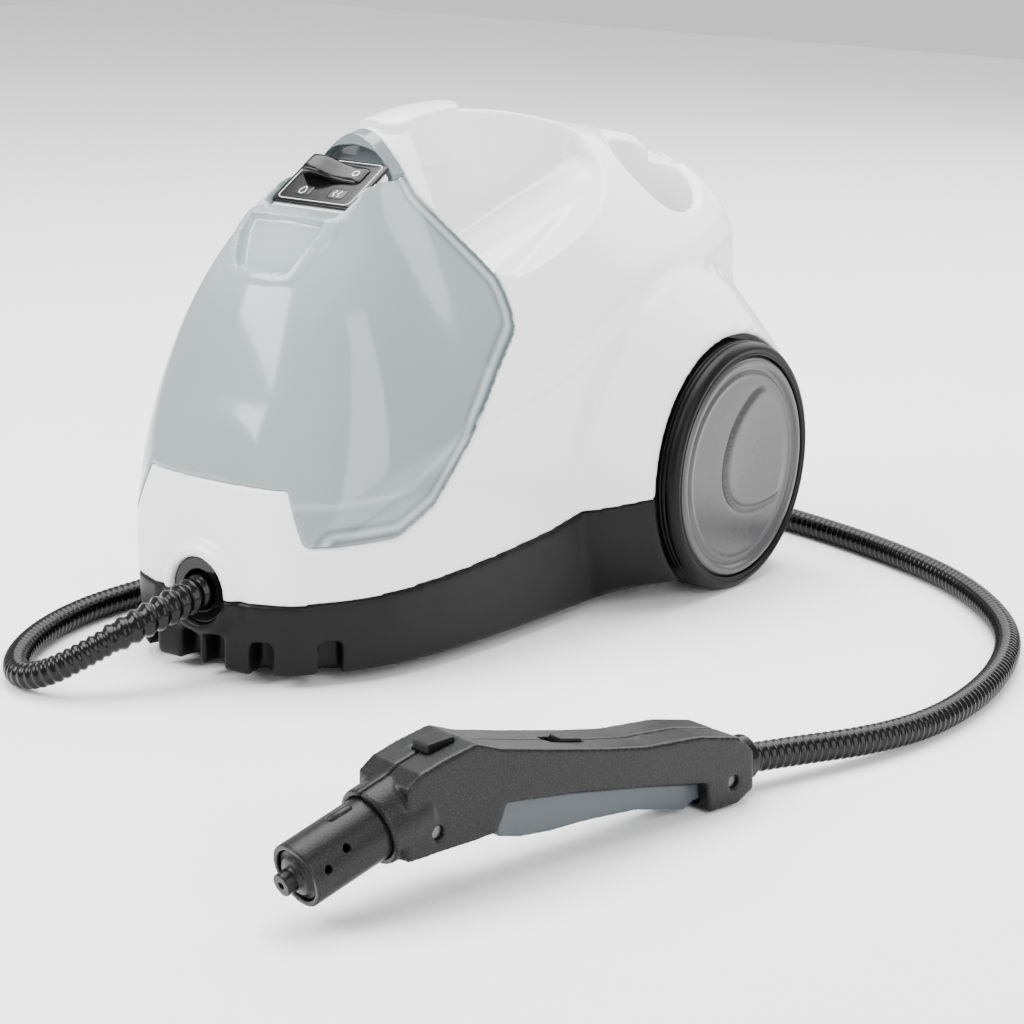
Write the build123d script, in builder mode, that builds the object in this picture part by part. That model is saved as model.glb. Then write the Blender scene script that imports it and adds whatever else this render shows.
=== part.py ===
from build123d import *
import math
import os

os.makedirs("parts", exist_ok=True)

# ---------------------------------------------------------------- driving dimensions, mm
WALL = 2.6  # moulded wall of the casings
GAP = 0.4  # half the gap between the tank and its bay
SEAM = 0.3  # gap at the joint between the casing and the base
FLOOR_Z = 6.0  # underside of the base pan
RUN = 0.05  # radial running clearance of pins and shafts

# Outlines of the body: seen from above as x and y, from the side as y and z, and the
# crown's cross section as x and z, which climbs towards the tail along CROWN_CLIMB.
PLAN = [(0, -190), (34, -190), (58, -172), (82, -122), (92, -70), (92, 186), (0, 186)]
SIDE = [
    (-190, 6),
    (-190, 62),
    (-182, 102),
    (-166, 150),
    (-139, 210),
    (-105, 246),
    (-62, 262),
    (-8, 267.5),
    (60, 261),
    (186, 237),
    (186, 6),
]
CROWN = [(92, 142), (66, 216), (0, 285)]
CROWN_CLIMB = 18.0

# Side views, as y and z
PARTING = [(-230, 42), (-150, 44), (-80, 49), (-15, 54), (42, 64), (62, 79), (230, 79)]
CASING_SCREWS = [(80, -64), (-80, -64), (80, 22), (-80, 22), (58, 180), (-58, 180)]
CRADLE_SCREWS = [(34, 4), (-34, 4), (34, 14), (-34, 14)]
SCREW_R = 2.0
SCREW_HEAD_R = 3.6
GLAND_R = 7.0
TANK_SIDE = [
    (-240, 72.6),
    (-240, 320),
    (-61, 320),
    (-61, 232),
    (-31, 188),
    (-31, 164),
    (-78, 125),
    (-109, 87),
    (-132, 74),
    (-163, 72.6),
]
CORE_SIDE = [(-137, 30), (-137, 118), (-104, 200), (-78, 213), (40, 213), (40, 30)]
CORE_HALF = 62.0
HUMP = [(-56, 30), (-56, 72), (-45, 100), (45, 100), (56, 72), (56, 30)]  # x and z
HUMP_BACK_Y = -100.0

# Console in the tank's top, with the control panel and its rocker
CONSOLE_HALF = 26.0
CONSOLE_FRONT_Y = -108.0
CONSOLE_BACK_Y = -71.0
PANEL_LOW = (-104.0, 227.5)
PANEL_SLOPE = 30.0

# Grip recess in the front of the tank
GRIP_Y = -138.0
GRIP_Z = 214.0
GRIP_SIZE = (50.0, 36.0, 24.0)

# Scoops on both sides of the carry ridge, and the round tube pockets behind them
SCOOP_X = 40.0
SCOOP_Y = 25.0
SCOOP_RX = 33.0
SCOOP_RY = 84.0
SCOOP_TURN = 10.0
SCOOP_FLOOR = (72.0, -8.0, 187.0)
SCOOP_FALL_X = 0.12
SCOOP_FALL_Y = 0.31
LEDGE_Y = -22.0
POCKET_X = 36.0
POCKET_Y = 149.0
POCKET_R = 24.0
POCKET_Z = 176.0
REAR_SLOT = (50.0, 8.0, 176.0, 224.0)  # half length, half width, y, floor height

# Air notches in the front of the base: x, y and turn
NOTCHES = [(8, -189, 0), (36, -185, 14), (62, -163, 52)]

# Tank outlet
PORT_Y = -148.0
PORT_Z = 100.4
PORT_R = 7.0
STEM_VALVE_R = 2.5
GUIDE_R = 1.5
DOCK_R = 10.0
FILLER_R = 9.0

# Rocker and lamps, along the panel from its lower edge
ROCKER_V = 24.0
ROCKER_LEN = 36.0
ROCKER_WIDE = 13.0
LAMP_V = 8.5
PIN_R = 1.5

# Rear wheels
WHEEL_R = 69.7
WHEEL_Y = 117.5
TYRE_IN_X = 93.0
TYRE_OUT_X = 125.3
RIM_R = 62.0
WELL_R = 73.0
WELL_IN_X = 84.0
FENDER_OUT_X = 116.5
AXLE_R = 5.0
HUB_R = 11.0

# Castor under the nose
CASTOR_Y = -118.0
CASTOR_TRAIL = 9.0
CASTOR_R = 11.0
CASTOR_WELL_R = 28.0
CASTOR_ROOF = 32.0
STEM_R = 4.0

# Boiler
BOILER_Y = 20.0
BOILER_Z = 96.0
BOILER_R = 42.0
BOILER_LEN = 96.0
REAR_INNER_Y = 186.0 - WALL
CRADLE_TOP = FLOOR_Z + WALL + 3
PUMP_X = -62.0
PUMP_Z = 34.0
PUMP_R = 15.0

# Hose outlet in the nose
OUTLET_Z = 45.0
OUTLET_R = 17.0
SLEEVE_R = 9.5

# Steam gun: tip on the floor plan and its heading from +Y towards +X
GUN_X = 243.7
GUN_Y = -408.0
GUN_ANGLE = 11.8
GUN_HALF = 16.0
GUN_WALL = 2.4
BARREL_TILT = 17.0
BARREL_R = 14.0
BARREL_LEN = 50.0
BARREL_MOUTH = (6.0, 22.0)
NOZZLE_R = 5.0
GUN_SIDE = [
    (50, 21),
    (50, 52),
    (57, 57),
    (70, 60.5),
    (86, 63.5),
    (99, 58.7),
    (126, 52.4),
    (160, 45),
    (183, 40.7),
    (215, 38),
    (239, 32.6),
    (249, 24),
    (250, 6),
    (240, 1.2),
    (222, 0.8),
    (220, 15),
    (189, 21),
    (144, 29),
    (103, 34),
    (98, 22),
    (62, 21),
]
GUN_SCREWS = [(66, 30), (237, 12)]
TRIGGER_HALF = 8.8
TRIGGER_PIVOT = (226.0, 9.0)
TRIGGER_SIDE = [
    (102, 32.5),
    (104.6, 16.7),
    (117, 13.6),
    (133.5, 12),
    (156, 11.5),
    (184, 9.3),
    (213, 2.5),
    (218.6, 5.2),
    (230, 6),
    (230, 13),
    (217, 13.8),
    (189, 19.4),
    (144, 27),
]
# the room in the grip that the trigger swings into
TRIGGER_ROOM = [
    (100, 0),
    (100, 45),
    (145, 37),
    (190, 26),
    (219, 17),
    (232.5, 17),
    (232.5, 3.5),
    (221, 3.5),
    (221, 0),
]

# Hose
HOSE_D = 14.0
HOSE_Z = 7.2
HOSE_ROUTE = [
    (0, -186, OUTLET_Z),
    (2, -212, 42),
    (-6, -238, 33),
    (-22, -256, 20),
    (-37, -264, 11),
    (-54, -264, HOSE_Z),
    (-72, -249, HOSE_Z),
    (-90, -221, HOSE_Z),
    (-103, -188, HOSE_Z),
    (-110, -150, HOSE_Z),
    (-108, -100, HOSE_Z),
    (-120, -50, HOSE_Z),
    (-142, 0, HOSE_Z),
    (-150, 60, HOSE_Z),
    (-151, 115, HOSE_Z),
    (-143, 165, HOSE_Z),
    (-120, 210, HOSE_Z),
    (-75, 243, HOSE_Z),
    (-15, 257, HOSE_Z),
    (50, 250, HOSE_Z),
    (115, 234, HOSE_Z),
    (170, 214, HOSE_Z),
    (222, 187, HOSE_Z),
    (264, 151, HOSE_Z),
    (296, 110, HOSE_Z),
    (316, 64, HOSE_Z),
    (328, 14, HOSE_Z),
    (331, -38, HOSE_Z),
    (323, -84, 9),
    (308, -125, 12),
    (295, -163.3, 14.5),
]


def save(part, name):
    part.label = name
    export_step(part, f"parts/{name}.step")


# ---------------------------------------------------------------- body forms
def body_form(inset):
    """The closed outer form of the machine, drawn in by inset."""
    climb = math.tan(math.radians(CROWN_CLIMB))
    mirrored = [(-x, y) for x, y in PLAN[-2:0:-1]]
    shoulder, flank, crest = CROWN
    with BuildPart() as form:
        with BuildSketch(Plane.XY.offset(FLOOR_Z + inset)):
            with BuildLine():
                Polyline(*(PLAN[1:-1] + mirrored), close=True)
            make_face()
            if inset:
                offset(amount=-inset, kind=Kind.INTERSECTION)
        extrude(amount=300)
        with BuildSketch(Plane.YZ):
            with BuildLine():
                Polyline(*SIDE, close=True)
            make_face()
            if inset:
                offset(amount=-inset, kind=Kind.INTERSECTION)
        extrude(amount=150, both=True, mode=Mode.INTERSECT)
        with BuildSketch(Plane.XZ.offset(240)):
            with Locations((0, -240 * climb)):
                with BuildLine():
                    ThreePointArc(shoulder, flank, crest)
                    ThreePointArc(crest, (-flank[0], flank[1]), (-shoulder[0], shoulder[1]))
                    Polyline((-shoulder[0], shoulder[1]), (-shoulder[0], -160), (shoulder[0], -160), shoulder)
                make_face()
            if inset:
                offset(amount=-inset, kind=Kind.INTERSECTION)
        extrude(amount=520, dir=(0, 1, climb), mode=Mode.INTERSECT)
    return form.part


def side_block(points, half_width):
    """A side-view outline, y and z, extruded to both sides."""
    with BuildPart() as block:
        with BuildSketch(Plane.YZ):
            with BuildLine():
                Polyline(*points, close=True)
            make_face()
        extrude(amount=half_width, both=True)
    return block.part


def below_parting(drop):
    """Everything under the joint between base and casing, lowered by drop."""
    outline = [(y, z - drop) for y, z in PARTING]
    return side_block(outline + [(230, -40), (-230, -40)], 160)


def x_cylinder(radius, start_x, end_x, y=WHEEL_Y, z=WHEEL_R):
    with BuildPart() as rod:
        with Locations(Plane(origin=(start_x, y, z), z_dir=(1, 0, 0))):
            Cylinder(radius, end_x - start_x, align=(Align.CENTER, Align.CENTER, Align.MIN))
    return rod.part


def z_cylinder(radius, x, y, low, high):
    with BuildPart() as post:
        with Locations((x, y, low)):
            Cylinder(radius, high - low, align=(Align.CENTER, Align.CENTER, Align.MIN))
    return post.part


def y_cylinder(radius, x, z, start_y, end_y):
    with BuildPart() as drum:
        with Locations(Plane(origin=(x, start_y, z), z_dir=(0, 1, 0))):
            Cylinder(radius, end_y - start_y, align=(Align.CENTER, Align.CENTER, Align.MIN))
    return drum.part


def block(x, y, z):
    """A box from three pairs of limits."""
    with BuildPart() as cuboid:
        with Locations(((x[0] + x[1]) / 2, (y[0] + y[1]) / 2, (z[0] + z[1]) / 2)):
            Box(x[1] - x[0], y[1] - y[0], z[1] - z[0])
    return cuboid.part


def fender(start_r, end_r, start_x, end_x):
    """The flare over the right wheel: a short cone about the axle, cut off behind and below."""
    length = end_x - start_x
    with BuildPart() as flare:
        with Locations(Plane(origin=(start_x, WHEEL_Y, WHEEL_R), z_dir=(1, 0, 0))):
            Cone(start_r, end_r, length, align=(Align.CENTER, Align.CENTER, Align.MIN))
        add(block((start_x - 1, end_x + 1), (0, 186), (FLOOR_Z + 4, 190)), mode=Mode.INTERSECT)
    return flare.part


def both_sides(part):
    """The part and its mirror image about the middle plane."""
    with BuildPart() as pair:
        add(part)
        mirror(about=Plane.YZ)
    return pair.part


def tank_zone(grow):
    """The room that the water tank takes, grown or drawn in on all sides."""
    with BuildPart() as zone:
        with BuildSketch(Plane.YZ):
            with BuildLine():
                Polyline(*TANK_SIDE, close=True)
            make_face()
            fillet(vertices().sort_by(Axis.X)[-2:], 9)
            if grow:
                offset(amount=grow, kind=Kind.INTERSECTION)
        extrude(amount=140, both=True)
        with BuildSketch(Plane.YZ):
            with BuildLine():
                Polyline(*CORE_SIDE, close=True)
            make_face()
            if grow:
                offset(amount=-grow, kind=Kind.INTERSECTION)
        extrude(amount=CORE_HALF - grow, both=True, mode=Mode.SUBTRACT)
        with BuildSketch(Plane.XZ.offset(-HUMP_BACK_Y)):
            with BuildLine():
                Polyline(*HUMP, close=True)
            make_face()
            if grow:
                offset(amount=-grow, kind=Kind.INTERSECTION)
        extrude(amount=140, mode=Mode.SUBTRACT)
        console_x = CONSOLE_HALF - grow
        add(block((-console_x, console_x), (CONSOLE_FRONT_Y + grow, 0), (190, 330)), mode=Mode.SUBTRACT)
    return zone.part


def grip_recess(grow):
    """The finger recess in the tank's front, where it is lifted off and filled."""
    with BuildPart() as recess:
        with Locations(Plane(origin=(0, GRIP_Y, GRIP_Z), x_dir=(1, 0, 0), z_dir=(0, -0.8, 0.6))):
            Box(*[size + 2 * grow for size in GRIP_SIZE])
    return recess.part


def scoop(grow):
    """The hollow beside the carry ridge, on the right side."""
    with BuildPart() as hollow:
        with BuildSketch(Plane.XY.offset(140)):
            with Locations((SCOOP_X, SCOOP_Y)):
                Ellipse(SCOOP_RX + grow, SCOOP_RY + grow, rotation=SCOOP_TURN)
        extrude(amount=190)
        x, y, z = SCOOP_FLOOR
        floor = Plane(origin=(x, y, z - grow), z_dir=(SCOOP_FALL_X, -SCOOP_FALL_Y, 1))
        split(bisect_by=floor, keep=Keep.TOP)
    return hollow.part


def ledge(grow):
    """The shallow step at the front end of the scoop."""
    with BuildPart() as step:
        with BuildSketch(Plane.XY.offset(140)):
            with Locations((SCOOP_X, SCOOP_Y)):
                Ellipse(SCOOP_RX + 0.5, SCOOP_RY + 0.5, rotation=SCOOP_TURN)
        extrude(amount=190)
        add(block((-10, 120), (-90, LEDGE_Y - grow), (120, 340)), mode=Mode.INTERSECT)
        top = Plane(origin=(60, -40, 190 - grow), z_dir=(0.75, -0.2, 1))
        split(bisect_by=top, keep=Keep.BOTTOM)
    return step.part


def pocket(grow):
    return z_cylinder(POCKET_R + grow, POCKET_X, POCKET_Y, POCKET_Z - grow, 320)


def rear_slot(grow):
    half_length, half_width, y, floor = REAR_SLOT
    with BuildPart() as slot:
        with BuildSketch(Plane.XY.offset(floor - grow)):
            with Locations((0, y)):
                Ellipse(half_length + grow, half_width + grow)
        extrude(amount=60)
    return slot.part


# ---------------------------------------------------------------- casing and base
plain_form = body_form(0.0)
plain_inner = body_form(WALL)
flare = both_sides(fender(112, 78, 80, FENDER_OUT_X))
well = both_sides(x_cylinder(WELL_R, WELL_IN_X, 160))
well_wall = both_sides(x_cylinder(WELL_R + WALL, WELL_IN_X - WALL, 160))
collar_bore = y_cylinder(OUTLET_R, 0, OUTLET_Z, -230, -172)
collar_wall = y_cylinder(OUTLET_R + 5.5, 0, OUTLET_Z, -190, -172)

axle_holes = both_sides(x_cylinder(AXLE_R, 60, 90))


def at_screws(radius, low, high):
    """One upright cylinder at each casing screw."""
    with BuildPart() as group:
        for x, y in CASING_SCREWS:
            add(z_cylinder(radius, x, y, low, high))
    return group.part


with BuildPart() as post_blocks:
    for post_x, post_y in CASING_SCREWS[:4]:
        reach = math.copysign(92, post_x)
        add(block(sorted((post_x - math.copysign(5, post_x), reach)), (post_y - 5, post_y + 5), (30, 100)))
    for post_x, post_y in CASING_SCREWS[4:]:
        add(block((post_x - 5, post_x + 5), (post_y - 5, 186), (30, 100)))
with BuildPart() as screw_posts:
    add(plain_form & post_blocks.part)
    add(below_parting(-SEAM), mode=Mode.SUBTRACT)
    add(body_form(WALL + GAP) & post_blocks.part)
    add(well_wall, mode=Mode.SUBTRACT)
# brackets on the rear wall that hold the control board
with BuildPart() as board_brackets:
    for bracket_x in (-34, 34):
        add(block((bracket_x - 3, bracket_x + 3), (151.7, 158), (84, 150)))
        add(block((bracket_x - 3, bracket_x + 3), (151.7, REAR_INNER_Y + 1), (84, 90)))
# saddles on the base's floor that hold the pump
with BuildPart() as pump_saddles:
    for saddle_y in (-36, 0):
        saddle_span = (saddle_y - 2.5, saddle_y + 2.5)
        add(block((PUMP_X - 11, PUMP_X + 11), saddle_span, (FLOOR_Z + 1, 30)))
    add(y_cylinder(PUMP_R + 0.02, PUMP_X, PUMP_Z, -60, 30), mode=Mode.SUBTRACT)
with BuildPart() as machine_form:
    add(plain_form)
    add(flare)
    add(well, mode=Mode.SUBTRACT)

with BuildPart() as casing_room:
    add(plain_inner)
    add(both_sides(fender(112 - 1.4 * WALL, 78 - 1.4 * WALL, 80, FENDER_OUT_X - WALL)))
    add(well_wall, mode=Mode.SUBTRACT)
    add(collar_wall, mode=Mode.SUBTRACT)

# room inside the casing, clear of the walls around each hollow
with BuildPart() as upper_room:
    add(casing_room.part)
    add(screw_posts.part, mode=Mode.SUBTRACT)
    add(board_brackets.part, mode=Mode.SUBTRACT)
    add(tank_zone(GAP + WALL), mode=Mode.SUBTRACT)
    add(both_sides(scoop(WALL)), mode=Mode.SUBTRACT)
    add(both_sides(ledge(-WALL)), mode=Mode.SUBTRACT)
    add(both_sides(pocket(2.0)), mode=Mode.SUBTRACT)
    add(rear_slot(WALL), mode=Mode.SUBTRACT)

scoop_cut = scoop(0.0) - ledge(0.0)
panel_cut = side_block(
    [
        (PANEL_LOW[0] - 6, PANEL_LOW[1] - 6 * math.tan(math.radians(PANEL_SLOPE))),
        (PANEL_LOW[0] + 50, PANEL_LOW[1] + 50 * math.tan(math.radians(PANEL_SLOPE))),
        (PANEL_LOW[0] + 50, 330),
        (PANEL_LOW[0] - 6, 330),
    ],
    CONSOLE_HALF + 0.5,
) & block((-40, 40), (-130, -61), (180, 340))

with BuildPart() as upper_shell:
    add(machine_form.part)
    add(collar_wall)
    add(below_parting(-SEAM) - screw_posts.part, mode=Mode.SUBTRACT)
    add(board_brackets.part)
    add(tank_zone(GAP), mode=Mode.SUBTRACT)
    add(upper_room.part, mode=Mode.SUBTRACT)
    add(both_sides(scoop_cut), mode=Mode.SUBTRACT)
    add(both_sides(pocket(0.0)), mode=Mode.SUBTRACT)
    add(rear_slot(0.0), mode=Mode.SUBTRACT)
    add(panel_cut, mode=Mode.SUBTRACT)
    add(collar_bore, mode=Mode.SUBTRACT)
    add(z_cylinder(DOCK_R, 0, PORT_Y, 90, 106), mode=Mode.SUBTRACT)
    add(at_screws(SCREW_R, 20, 60), mode=Mode.SUBTRACT)
save(upper_shell.part, "upper_shell")

# base pan: floor, skirt, wheel wells, castor socket, axle blocks and air notches
with BuildPart() as notches:
    for notch_x, notch_y, turn in NOTCHES:
        for side in (-1, 1):
            with Locations(Location((side * notch_x, notch_y, 12), (0, 0, side * turn))):
                Box(13, 22, 24)
with BuildPart() as notch_walls:
    for notch_x, notch_y, turn in NOTCHES:
        for side in (-1, 1):
            with Locations(Location((side * notch_x, notch_y, 12), (0, 0, side * turn))):
                Box(17, 26, 28)
axle_block = block((56, 90), (100, 135), (0, 79))
with BuildPart() as base_room:
    add(casing_room.part)
    add(both_sides(axle_block), mode=Mode.SUBTRACT)
    add(z_cylinder(CASTOR_WELL_R + 3, 0, CASTOR_Y, 0, CASTOR_ROOF + 3), mode=Mode.SUBTRACT)
    add(z_cylinder(STEM_R + 4, 0, CASTOR_Y, 20, 48), mode=Mode.SUBTRACT)
    add(notch_walls.part, mode=Mode.SUBTRACT)
with BuildPart() as base_pan:
    add(machine_form.part)
    add(collar_wall)
    add(below_parting(SEAM), mode=Mode.INTERSECT)
    add(base_room.part, mode=Mode.SUBTRACT)
    add(pump_saddles.part)
    add(collar_bore, mode=Mode.SUBTRACT)
    add(notches.part, mode=Mode.SUBTRACT)
    add(z_cylinder(CASTOR_WELL_R, 0, CASTOR_Y, 0, CASTOR_ROOF), mode=Mode.SUBTRACT)
    add(z_cylinder(STEM_R + RUN, 0, CASTOR_Y, 20, 60), mode=Mode.SUBTRACT)
    add(axle_holes, mode=Mode.SUBTRACT)
    add(y_cylinder(GLAND_R, 30, 40, 170, 200), mode=Mode.SUBTRACT)
    add(at_screws(SCREW_R + 0.2, 0, 20), mode=Mode.SUBTRACT)
    add(at_screws(SCREW_HEAD_R + 0.2, 0, FLOOR_Z + 1.6), mode=Mode.SUBTRACT)
    for foot_x, foot_y in CRADLE_SCREWS:
        add(z_cylinder(SCREW_R, foot_x, foot_y, 0, 20), mode=Mode.SUBTRACT)
save(base_pan.part, "base_pan")

with BuildPart() as base_screws:
    add(at_screws(SCREW_R, FLOOR_Z + 0.2, 52))
    add(at_screws(SCREW_HEAD_R, FLOOR_Z + 0.2, FLOOR_Z + 1.5))
    for foot_x, foot_y in CRADLE_SCREWS:
        add(z_cylinder(SCREW_R, foot_x, foot_y, FLOOR_Z + 0.5, CRADLE_TOP))
        add(z_cylinder(SCREW_HEAD_R, foot_x, foot_y, CRADLE_TOP, CRADLE_TOP + 2))
save(base_screws.part, "base_screws")

# ---------------------------------------------------------------- water tank
with BuildPart() as tank_room:
    add(body_form(2.2))
    add(tank_zone(-GAP - 2.2), mode=Mode.INTERSECT)
    add(grip_recess(2.2), mode=Mode.SUBTRACT)
filler_plane = Plane(origin=(0, GRIP_Y + 7.3, GRIP_Z - 11.4), x_dir=(1, 0, 0), z_dir=(0, -0.8, 0.6))
with BuildPart() as water_tank:
    add(plain_form)
    add(tank_zone(-GAP), mode=Mode.INTERSECT)
    add(grip_recess(0), mode=Mode.SUBTRACT)
    add(tank_room.part, mode=Mode.SUBTRACT)
    add(z_cylinder(PORT_R, 0, PORT_Y, 96, 112), mode=Mode.SUBTRACT)
    with Locations(filler_plane):
        Cylinder(FILLER_R, 12, mode=Mode.SUBTRACT)
save(water_tank.part, "water_tank")
print("tank holds", round(tank_room.part.volume / 1e6, 2), "litres")

with BuildPart() as filler_plug:
    with Locations(filler_plane.offset(-2.4)):
        Cylinder(FILLER_R - 0.05, 4, align=(Align.CENTER, Align.CENTER, Align.MIN))
    with Locations(filler_plane.offset(1.6)):
        Cylinder(FILLER_R + 2, 1.6, align=(Align.CENTER, Align.CENTER, Align.MIN))
save(filler_plug.part, "filler_plug")


def port_tube(outer, inner, low, high):
    """An upright ring about the tank's outlet, its heights counted from the tank's floor."""
    with BuildPart() as ring:
        with BuildSketch(Plane.XY.offset(PORT_Z + low)):
            with Locations((0, PORT_Y)):
                Circle(outer)
                Circle(inner, mode=Mode.SUBTRACT)
        extrude(amount=high - low)
    return ring.part


# outlet valve in the tank's floor: seat with a cage on top, poppet, spring, and the dock below
cage_gap = block((-20, 20), (PORT_Y - 3, PORT_Y + 3), (PORT_Z + 6, PORT_Z + 17))
with BuildPart() as tank_valve_seat:
    add(port_tube(PORT_R - 0.05, STEM_VALVE_R + RUN, -2, 6))
    add(port_tube(PORT_R - 0.05, 5.8, 6, 17) - cage_gap)
    add(port_tube(PORT_R - 0.05, GUIDE_R + RUN, 17, 19))
save(tank_valve_seat.part, "tank_valve_seat")

with BuildPart() as tank_valve:
    add(z_cylinder(STEM_VALVE_R, 0, PORT_Y, PORT_Z - 3.4, PORT_Z + 6.1))
    add(z_cylinder(5.4, 0, PORT_Y, PORT_Z + 6.1, PORT_Z + 8.1))
    add(z_cylinder(GUIDE_R, 0, PORT_Y, PORT_Z + 8.1, PORT_Z + 22))
save(tank_valve.part, "tank_valve")

with BuildPart() as tank_valve_spring:
    for turn in range(5):
        with Locations((0, PORT_Y, PORT_Z + 9.0 + 1.7 * turn)):
            Torus(3.6, 0.5)
save(tank_valve_spring.part, "tank_valve_spring")

with BuildPart() as tank_dock:
    add(port_tube(14, 5, -6.5, -3.5))
    add(port_tube(DOCK_R - 0.1, DOCK_R - 1.5, -3.5, -1.2))
    add(port_tube(5, 3, -26, -3.5))
save(tank_dock.part, "tank_dock")

# ---------------------------------------------------------------- control console
tilt = math.radians(PANEL_SLOPE)
panel_plane = Plane(
    origin=(0, PANEL_LOW[0], PANEL_LOW[1]),
    x_dir=(1, 0, 0),
    z_dir=(0, -math.sin(tilt), math.cos(tilt)),
)
panel_length = (CONSOLE_BACK_Y - PANEL_LOW[0] - 2) / math.cos(tilt)

with BuildPart() as control_panel:
    with BuildSketch(panel_plane):
        with Locations((0, panel_length / 2)):
            RectangleRounded(2 * CONSOLE_HALF - 4, panel_length, 2.5)
    extrude(amount=1.8)
    with BuildSketch(panel_plane.offset(-1)):
        with Locations((0, ROCKER_V)):
            Rectangle(ROCKER_LEN + 0.8, ROCKER_WIDE + 0.8)
        with Locations((-11, LAMP_V), (11, LAMP_V)):
            Rectangle(11, 8)
    extrude(amount=6, mode=Mode.SUBTRACT)
save(control_panel.part, "control_panel")

with BuildPart() as status_lamps:
    with BuildSketch(panel_plane.offset(0.1)):
        with Locations((-11, LAMP_V), (11, LAMP_V)):
            Rectangle(10.9, 7.9)
    extrude(amount=1.5)
save(status_lamps.part, "status_lamps")

# the rocker tips about a pin that runs up the panel
rocker_pivot = panel_plane.origin + panel_plane.y_dir * ROCKER_V - panel_plane.z_dir * 2
with BuildPart() as rocker_switch:
    rocker_side = Plane(origin=rocker_pivot, x_dir=(1, 0, 0), z_dir=-panel_plane.y_dir)
    rocker_side = rocker_side.offset(-ROCKER_WIDE / 2)
    with BuildSketch(rocker_side):
        with BuildLine():
            Polyline(
                (-ROCKER_LEN / 2 + 1.4, 7.8),
                (-ROCKER_LEN / 2 + 3, 1.5),
                (-5, -4),
                (5, -4),
                (ROCKER_LEN / 2 - 1, -3.6),
                (ROCKER_LEN / 2, 2.6),
                (4, 4.2),
                close=True,
            )
        make_face()
    extrude(amount=ROCKER_WIDE)
    with Locations(Plane(origin=rocker_pivot, z_dir=panel_plane.y_dir)):
        Cylinder(PIN_R, ROCKER_WIDE + 4)
save(rocker_switch.part, "rocker_switch")
print("rocker pivot", rocker_pivot, "axis", panel_plane.y_dir)

# the switch's body hangs under the panel and holds the rocker's trunnions between two cheeks
with BuildPart() as switch_body:
    with BuildSketch(panel_plane.offset(-22)):
        with Locations((0, ROCKER_V)):
            Rectangle(ROCKER_LEN + 2, ROCKER_WIDE + 4)
    extrude(amount=13)
    with BuildSketch(panel_plane.offset(-9)):
        for cheek in (-1, 1):
            with Locations((0, ROCKER_V + cheek * (ROCKER_WIDE / 2 + 1.2))):
                Rectangle(9, 1.6)
    extrude(amount=8.9)
    with Locations(Plane(origin=rocker_pivot, z_dir=panel_plane.y_dir)):
        Cylinder(PIN_R + RUN, ROCKER_WIDE + 10, mode=Mode.SUBTRACT)
save(switch_body.part, "switch_body")

# the clear arch behind the console, and a soft grip on top of the carry ridge
with BuildPart() as console_bezel:
    add(plain_form)
    add(body_form(4), mode=Mode.SUBTRACT)
    add(block((-25, 25), (-69, -61.6), (200, 300)), mode=Mode.INTERSECT)
    add(panel_cut, mode=Mode.INTERSECT)
save(console_bezel.part, "console_bezel")

with BuildPart() as carry_grip:
    add(body_form(-5.0))
    add(plain_form, mode=Mode.SUBTRACT)
    with BuildSketch(Plane.XY.offset(200), mode=Mode.PRIVATE) as grip_plan:
        with Locations((0, -26)):
            SlotOverall(62, 22, rotation=90)
    add(extrude(grip_plan.sketch, amount=120, mode=Mode.PRIVATE), mode=Mode.INTERSECT)
save(carry_grip.part, "carry_grip")

# ---------------------------------------------------------------- rear wheels
wheel_plane = Plane(origin=(0, WHEEL_Y, 0), x_dir=(1, 0, 0), z_dir=(0, -1, 0))
wheel_axis = Axis((0, WHEEL_Y, WHEEL_R), (1, 0, 0))


def turned(outline):
    """An outline of x and radius, turned about the wheel's axle."""
    with BuildPart() as solid:
        with BuildSketch(wheel_plane):
            with BuildLine():
                Polyline(*[(x, WHEEL_R + radius) for x, radius in outline], close=True)
            make_face()
        revolve(axis=wheel_axis)
    return solid.part


tyre = turned(
    [
        (TYRE_IN_X, RIM_R),
        (TYRE_IN_X, WHEEL_R - 3),
        (TYRE_IN_X + 3, WHEEL_R),
        (TYRE_IN_X + 10, WHEEL_R),
        (TYRE_IN_X + 10.5, WHEEL_R - 1.5),
        (TYRE_IN_X + 12.5, WHEEL_R - 1.5),
        (TYRE_IN_X + 13, WHEEL_R),
        (TYRE_OUT_X - 12, WHEEL_R),
        (TYRE_OUT_X - 11.5, WHEEL_R - 1.5),
        (TYRE_OUT_X - 9.5, WHEEL_R - 1.5),
        (TYRE_OUT_X - 9, WHEEL_R),
        (TYRE_OUT_X - 3, WHEEL_R),
        (TYRE_OUT_X, WHEEL_R - 3),
        (TYRE_OUT_X, RIM_R),
    ]
)
rim = turned(
    [
        (TYRE_IN_X - 5, AXLE_R + RUN),
        (TYRE_IN_X - 5, HUB_R),
        (TYRE_IN_X + 12, HUB_R),
        (TYRE_IN_X + 12, RIM_R - 4),
        (TYRE_IN_X, RIM_R - 4),
        (TYRE_IN_X, RIM_R - 0.02),
        (TYRE_OUT_X - 3, RIM_R - 0.02),
        (TYRE_OUT_X - 3, RIM_R - 4),
        (TYRE_IN_X + 15, RIM_R - 4),
        (TYRE_IN_X + 15, HUB_R),
        (TYRE_OUT_X - 10, HUB_R),
        (TYRE_OUT_X - 10, AXLE_R + RUN),
    ]
)
hub_cap = turned(
    [
        (TYRE_OUT_X - 3, 0),
        (TYRE_OUT_X - 3, RIM_R - 4.2),
        (TYRE_OUT_X - 2.9, RIM_R - 0.2),
        (TYRE_OUT_X - 0.6, RIM_R - 0.4),
        (TYRE_OUT_X, RIM_R - 3),
        (TYRE_OUT_X - 1.5, RIM_R - 8),
        (TYRE_OUT_X - 0.5, 0),
    ]
)
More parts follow.
